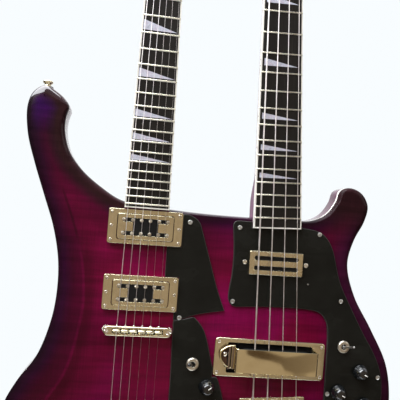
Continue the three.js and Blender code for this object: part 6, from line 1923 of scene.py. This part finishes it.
class GUITAR_OT_necks(bpy.types.Operator):
    """Builds both necks with their headstocks."""

    bl_idname = "guitar.necks"
    bl_label = "Necks"

    def execute(self, context):
        """Makes one neck after the other."""
        make_neck(GUITAR)
        make_neck(BASS)
        return {"FINISHED"}


class GUITAR_OT_boards(bpy.types.Operator):
    """Builds both fretboards, their inlays, frets and nuts."""

    bl_idname = "guitar.boards"
    bl_label = "Fretboards"

    def execute(self, context):
        """Makes both fretboards, then both nuts."""
        for make in (make_board, make_nut):
            make(GUITAR)
            make(BASS)
        return {"FINISHED"}


class GUITAR_OT_strings(bpy.types.Operator):
    """Builds all strings and their turns round the posts."""

    bl_idname = "guitar.strings"
    bl_label = "Strings"

    def execute(self, context):
        """Makes the strings of one neck after the other."""
        make_strings(GUITAR)
        make_strings(BASS)
        return {"FINISHED"}


class GUITAR_OT_tuners(bpy.types.Operator):
    """Builds the tuners of both headstocks."""

    bl_idname = "guitar.tuners"
    bl_label = "Tuners"

    def execute(self, context):
        """Makes the tuners of one headstock after the other."""
        make_tuners(GUITAR)
        make_tuners(BASS)
        return {"FINISHED"}


class GUITAR_OT_guards(bpy.types.Operator):
    """Builds the pickguards with their screws."""

    bl_idname = "guitar.guards"
    bl_label = "Pickguards"

    def execute(self, context):
        """Makes the three plates, what hangs under them and their screws."""
        make_guards()
        return {"FINISHED"}


class GUITAR_OT_pickups(bpy.types.Operator):
    """Builds all pickups with their rings and covers."""

    bl_idname = "guitar.pickups"
    bl_label = "Pickups"

    def execute(self, context):
        """Makes the guitar's pickups, then the bass's."""
        make_guitar_pickups()
        make_bass_neck_pickup()
        make_bass_bridge_pickup()
        return {"FINISHED"}


class GUITAR_OT_bridges(bpy.types.Operator):
    """Builds both bridges and the tailpiece."""

    bl_idname = "guitar.bridges"
    bl_label = "Bridges"

    def execute(self, context):
        """Makes the guitar's bridge and tailpiece, then the bass's bridge."""
        make_guitar_bridge()
        make_bass_bridge()
        return {"FINISHED"}


class GUITAR_OT_controls(bpy.types.Operator):
    """Builds the knobs and the switches."""

    bl_idname = "guitar.controls"
    bl_label = "Controls"

    def execute(self, context):
        """Makes the knobs, then the switches."""
        make_knobs()
        make_switches()
        return {"FINISHED"}


class GUITAR_OT_fittings(bpy.types.Operator):
    """Builds the socket plate and the strap buttons."""

    bl_idname = "guitar.fittings"
    bl_label = "Fittings"

    def execute(self, context):
        """Makes the socket plate, then the strap buttons."""
        make_fittings()
        return {"FINISHED"}


class GUITAR_OT_stage(bpy.types.Operator):
    """Builds the floor, the lights, the surroundings and the camera."""

    bl_idname = "guitar.stage"
    bl_label = "Stage"

    def execute(self, context):
        """Makes the stage."""
        make_stage()
        return {"FINISHED"}


OPERATORS = (
    GUITAR_OT_body, GUITAR_OT_necks, GUITAR_OT_boards, GUITAR_OT_strings, GUITAR_OT_tuners, GUITAR_OT_guards,
    GUITAR_OT_pickups, GUITAR_OT_bridges, GUITAR_OT_controls, GUITAR_OT_fittings, GUITAR_OT_stage,
)


class GUITAR_PT_panel(bpy.types.Panel):
    """Lists the builders and their settings in the sidebar."""

    bl_idname = "GUITAR_PT_panel"
    bl_label = "Double-neck guitar"
    bl_space_type = "VIEW_3D"
    bl_region_type = "UI"
    bl_category = "Guitar"

    def draw(self, context):
        """Draws a button for each operator and a field for each setting."""
        for operator in OPERATORS:
            self.layout.operator(operator.bl_idname)
        group = context.scene.guitar_dresser
        for name in group.__annotations__:
            self.layout.prop(group, name)


CLASSES = (GuitarDresserSettings, *OPERATORS, GUITAR_PT_panel)


def register():
    """Registers the add-on's classes and its settings."""
    for cls in CLASSES:
        bpy.utils.register_class(cls)
    bpy.types.Scene.guitar_dresser = PointerProperty(type=GuitarDresserSettings)


def unregister():
    """Removes what register added."""
    del bpy.types.Scene.guitar_dresser
    for cls in reversed(CLASSES):
        bpy.utils.unregister_class(cls)


def main():
    """Builds everything."""
    register()
    for operator in OPERATORS:
        group, name = operator.bl_idname.split(".")
        getattr(getattr(bpy.ops, group), name)()


if __name__ == "__main__":
    main()
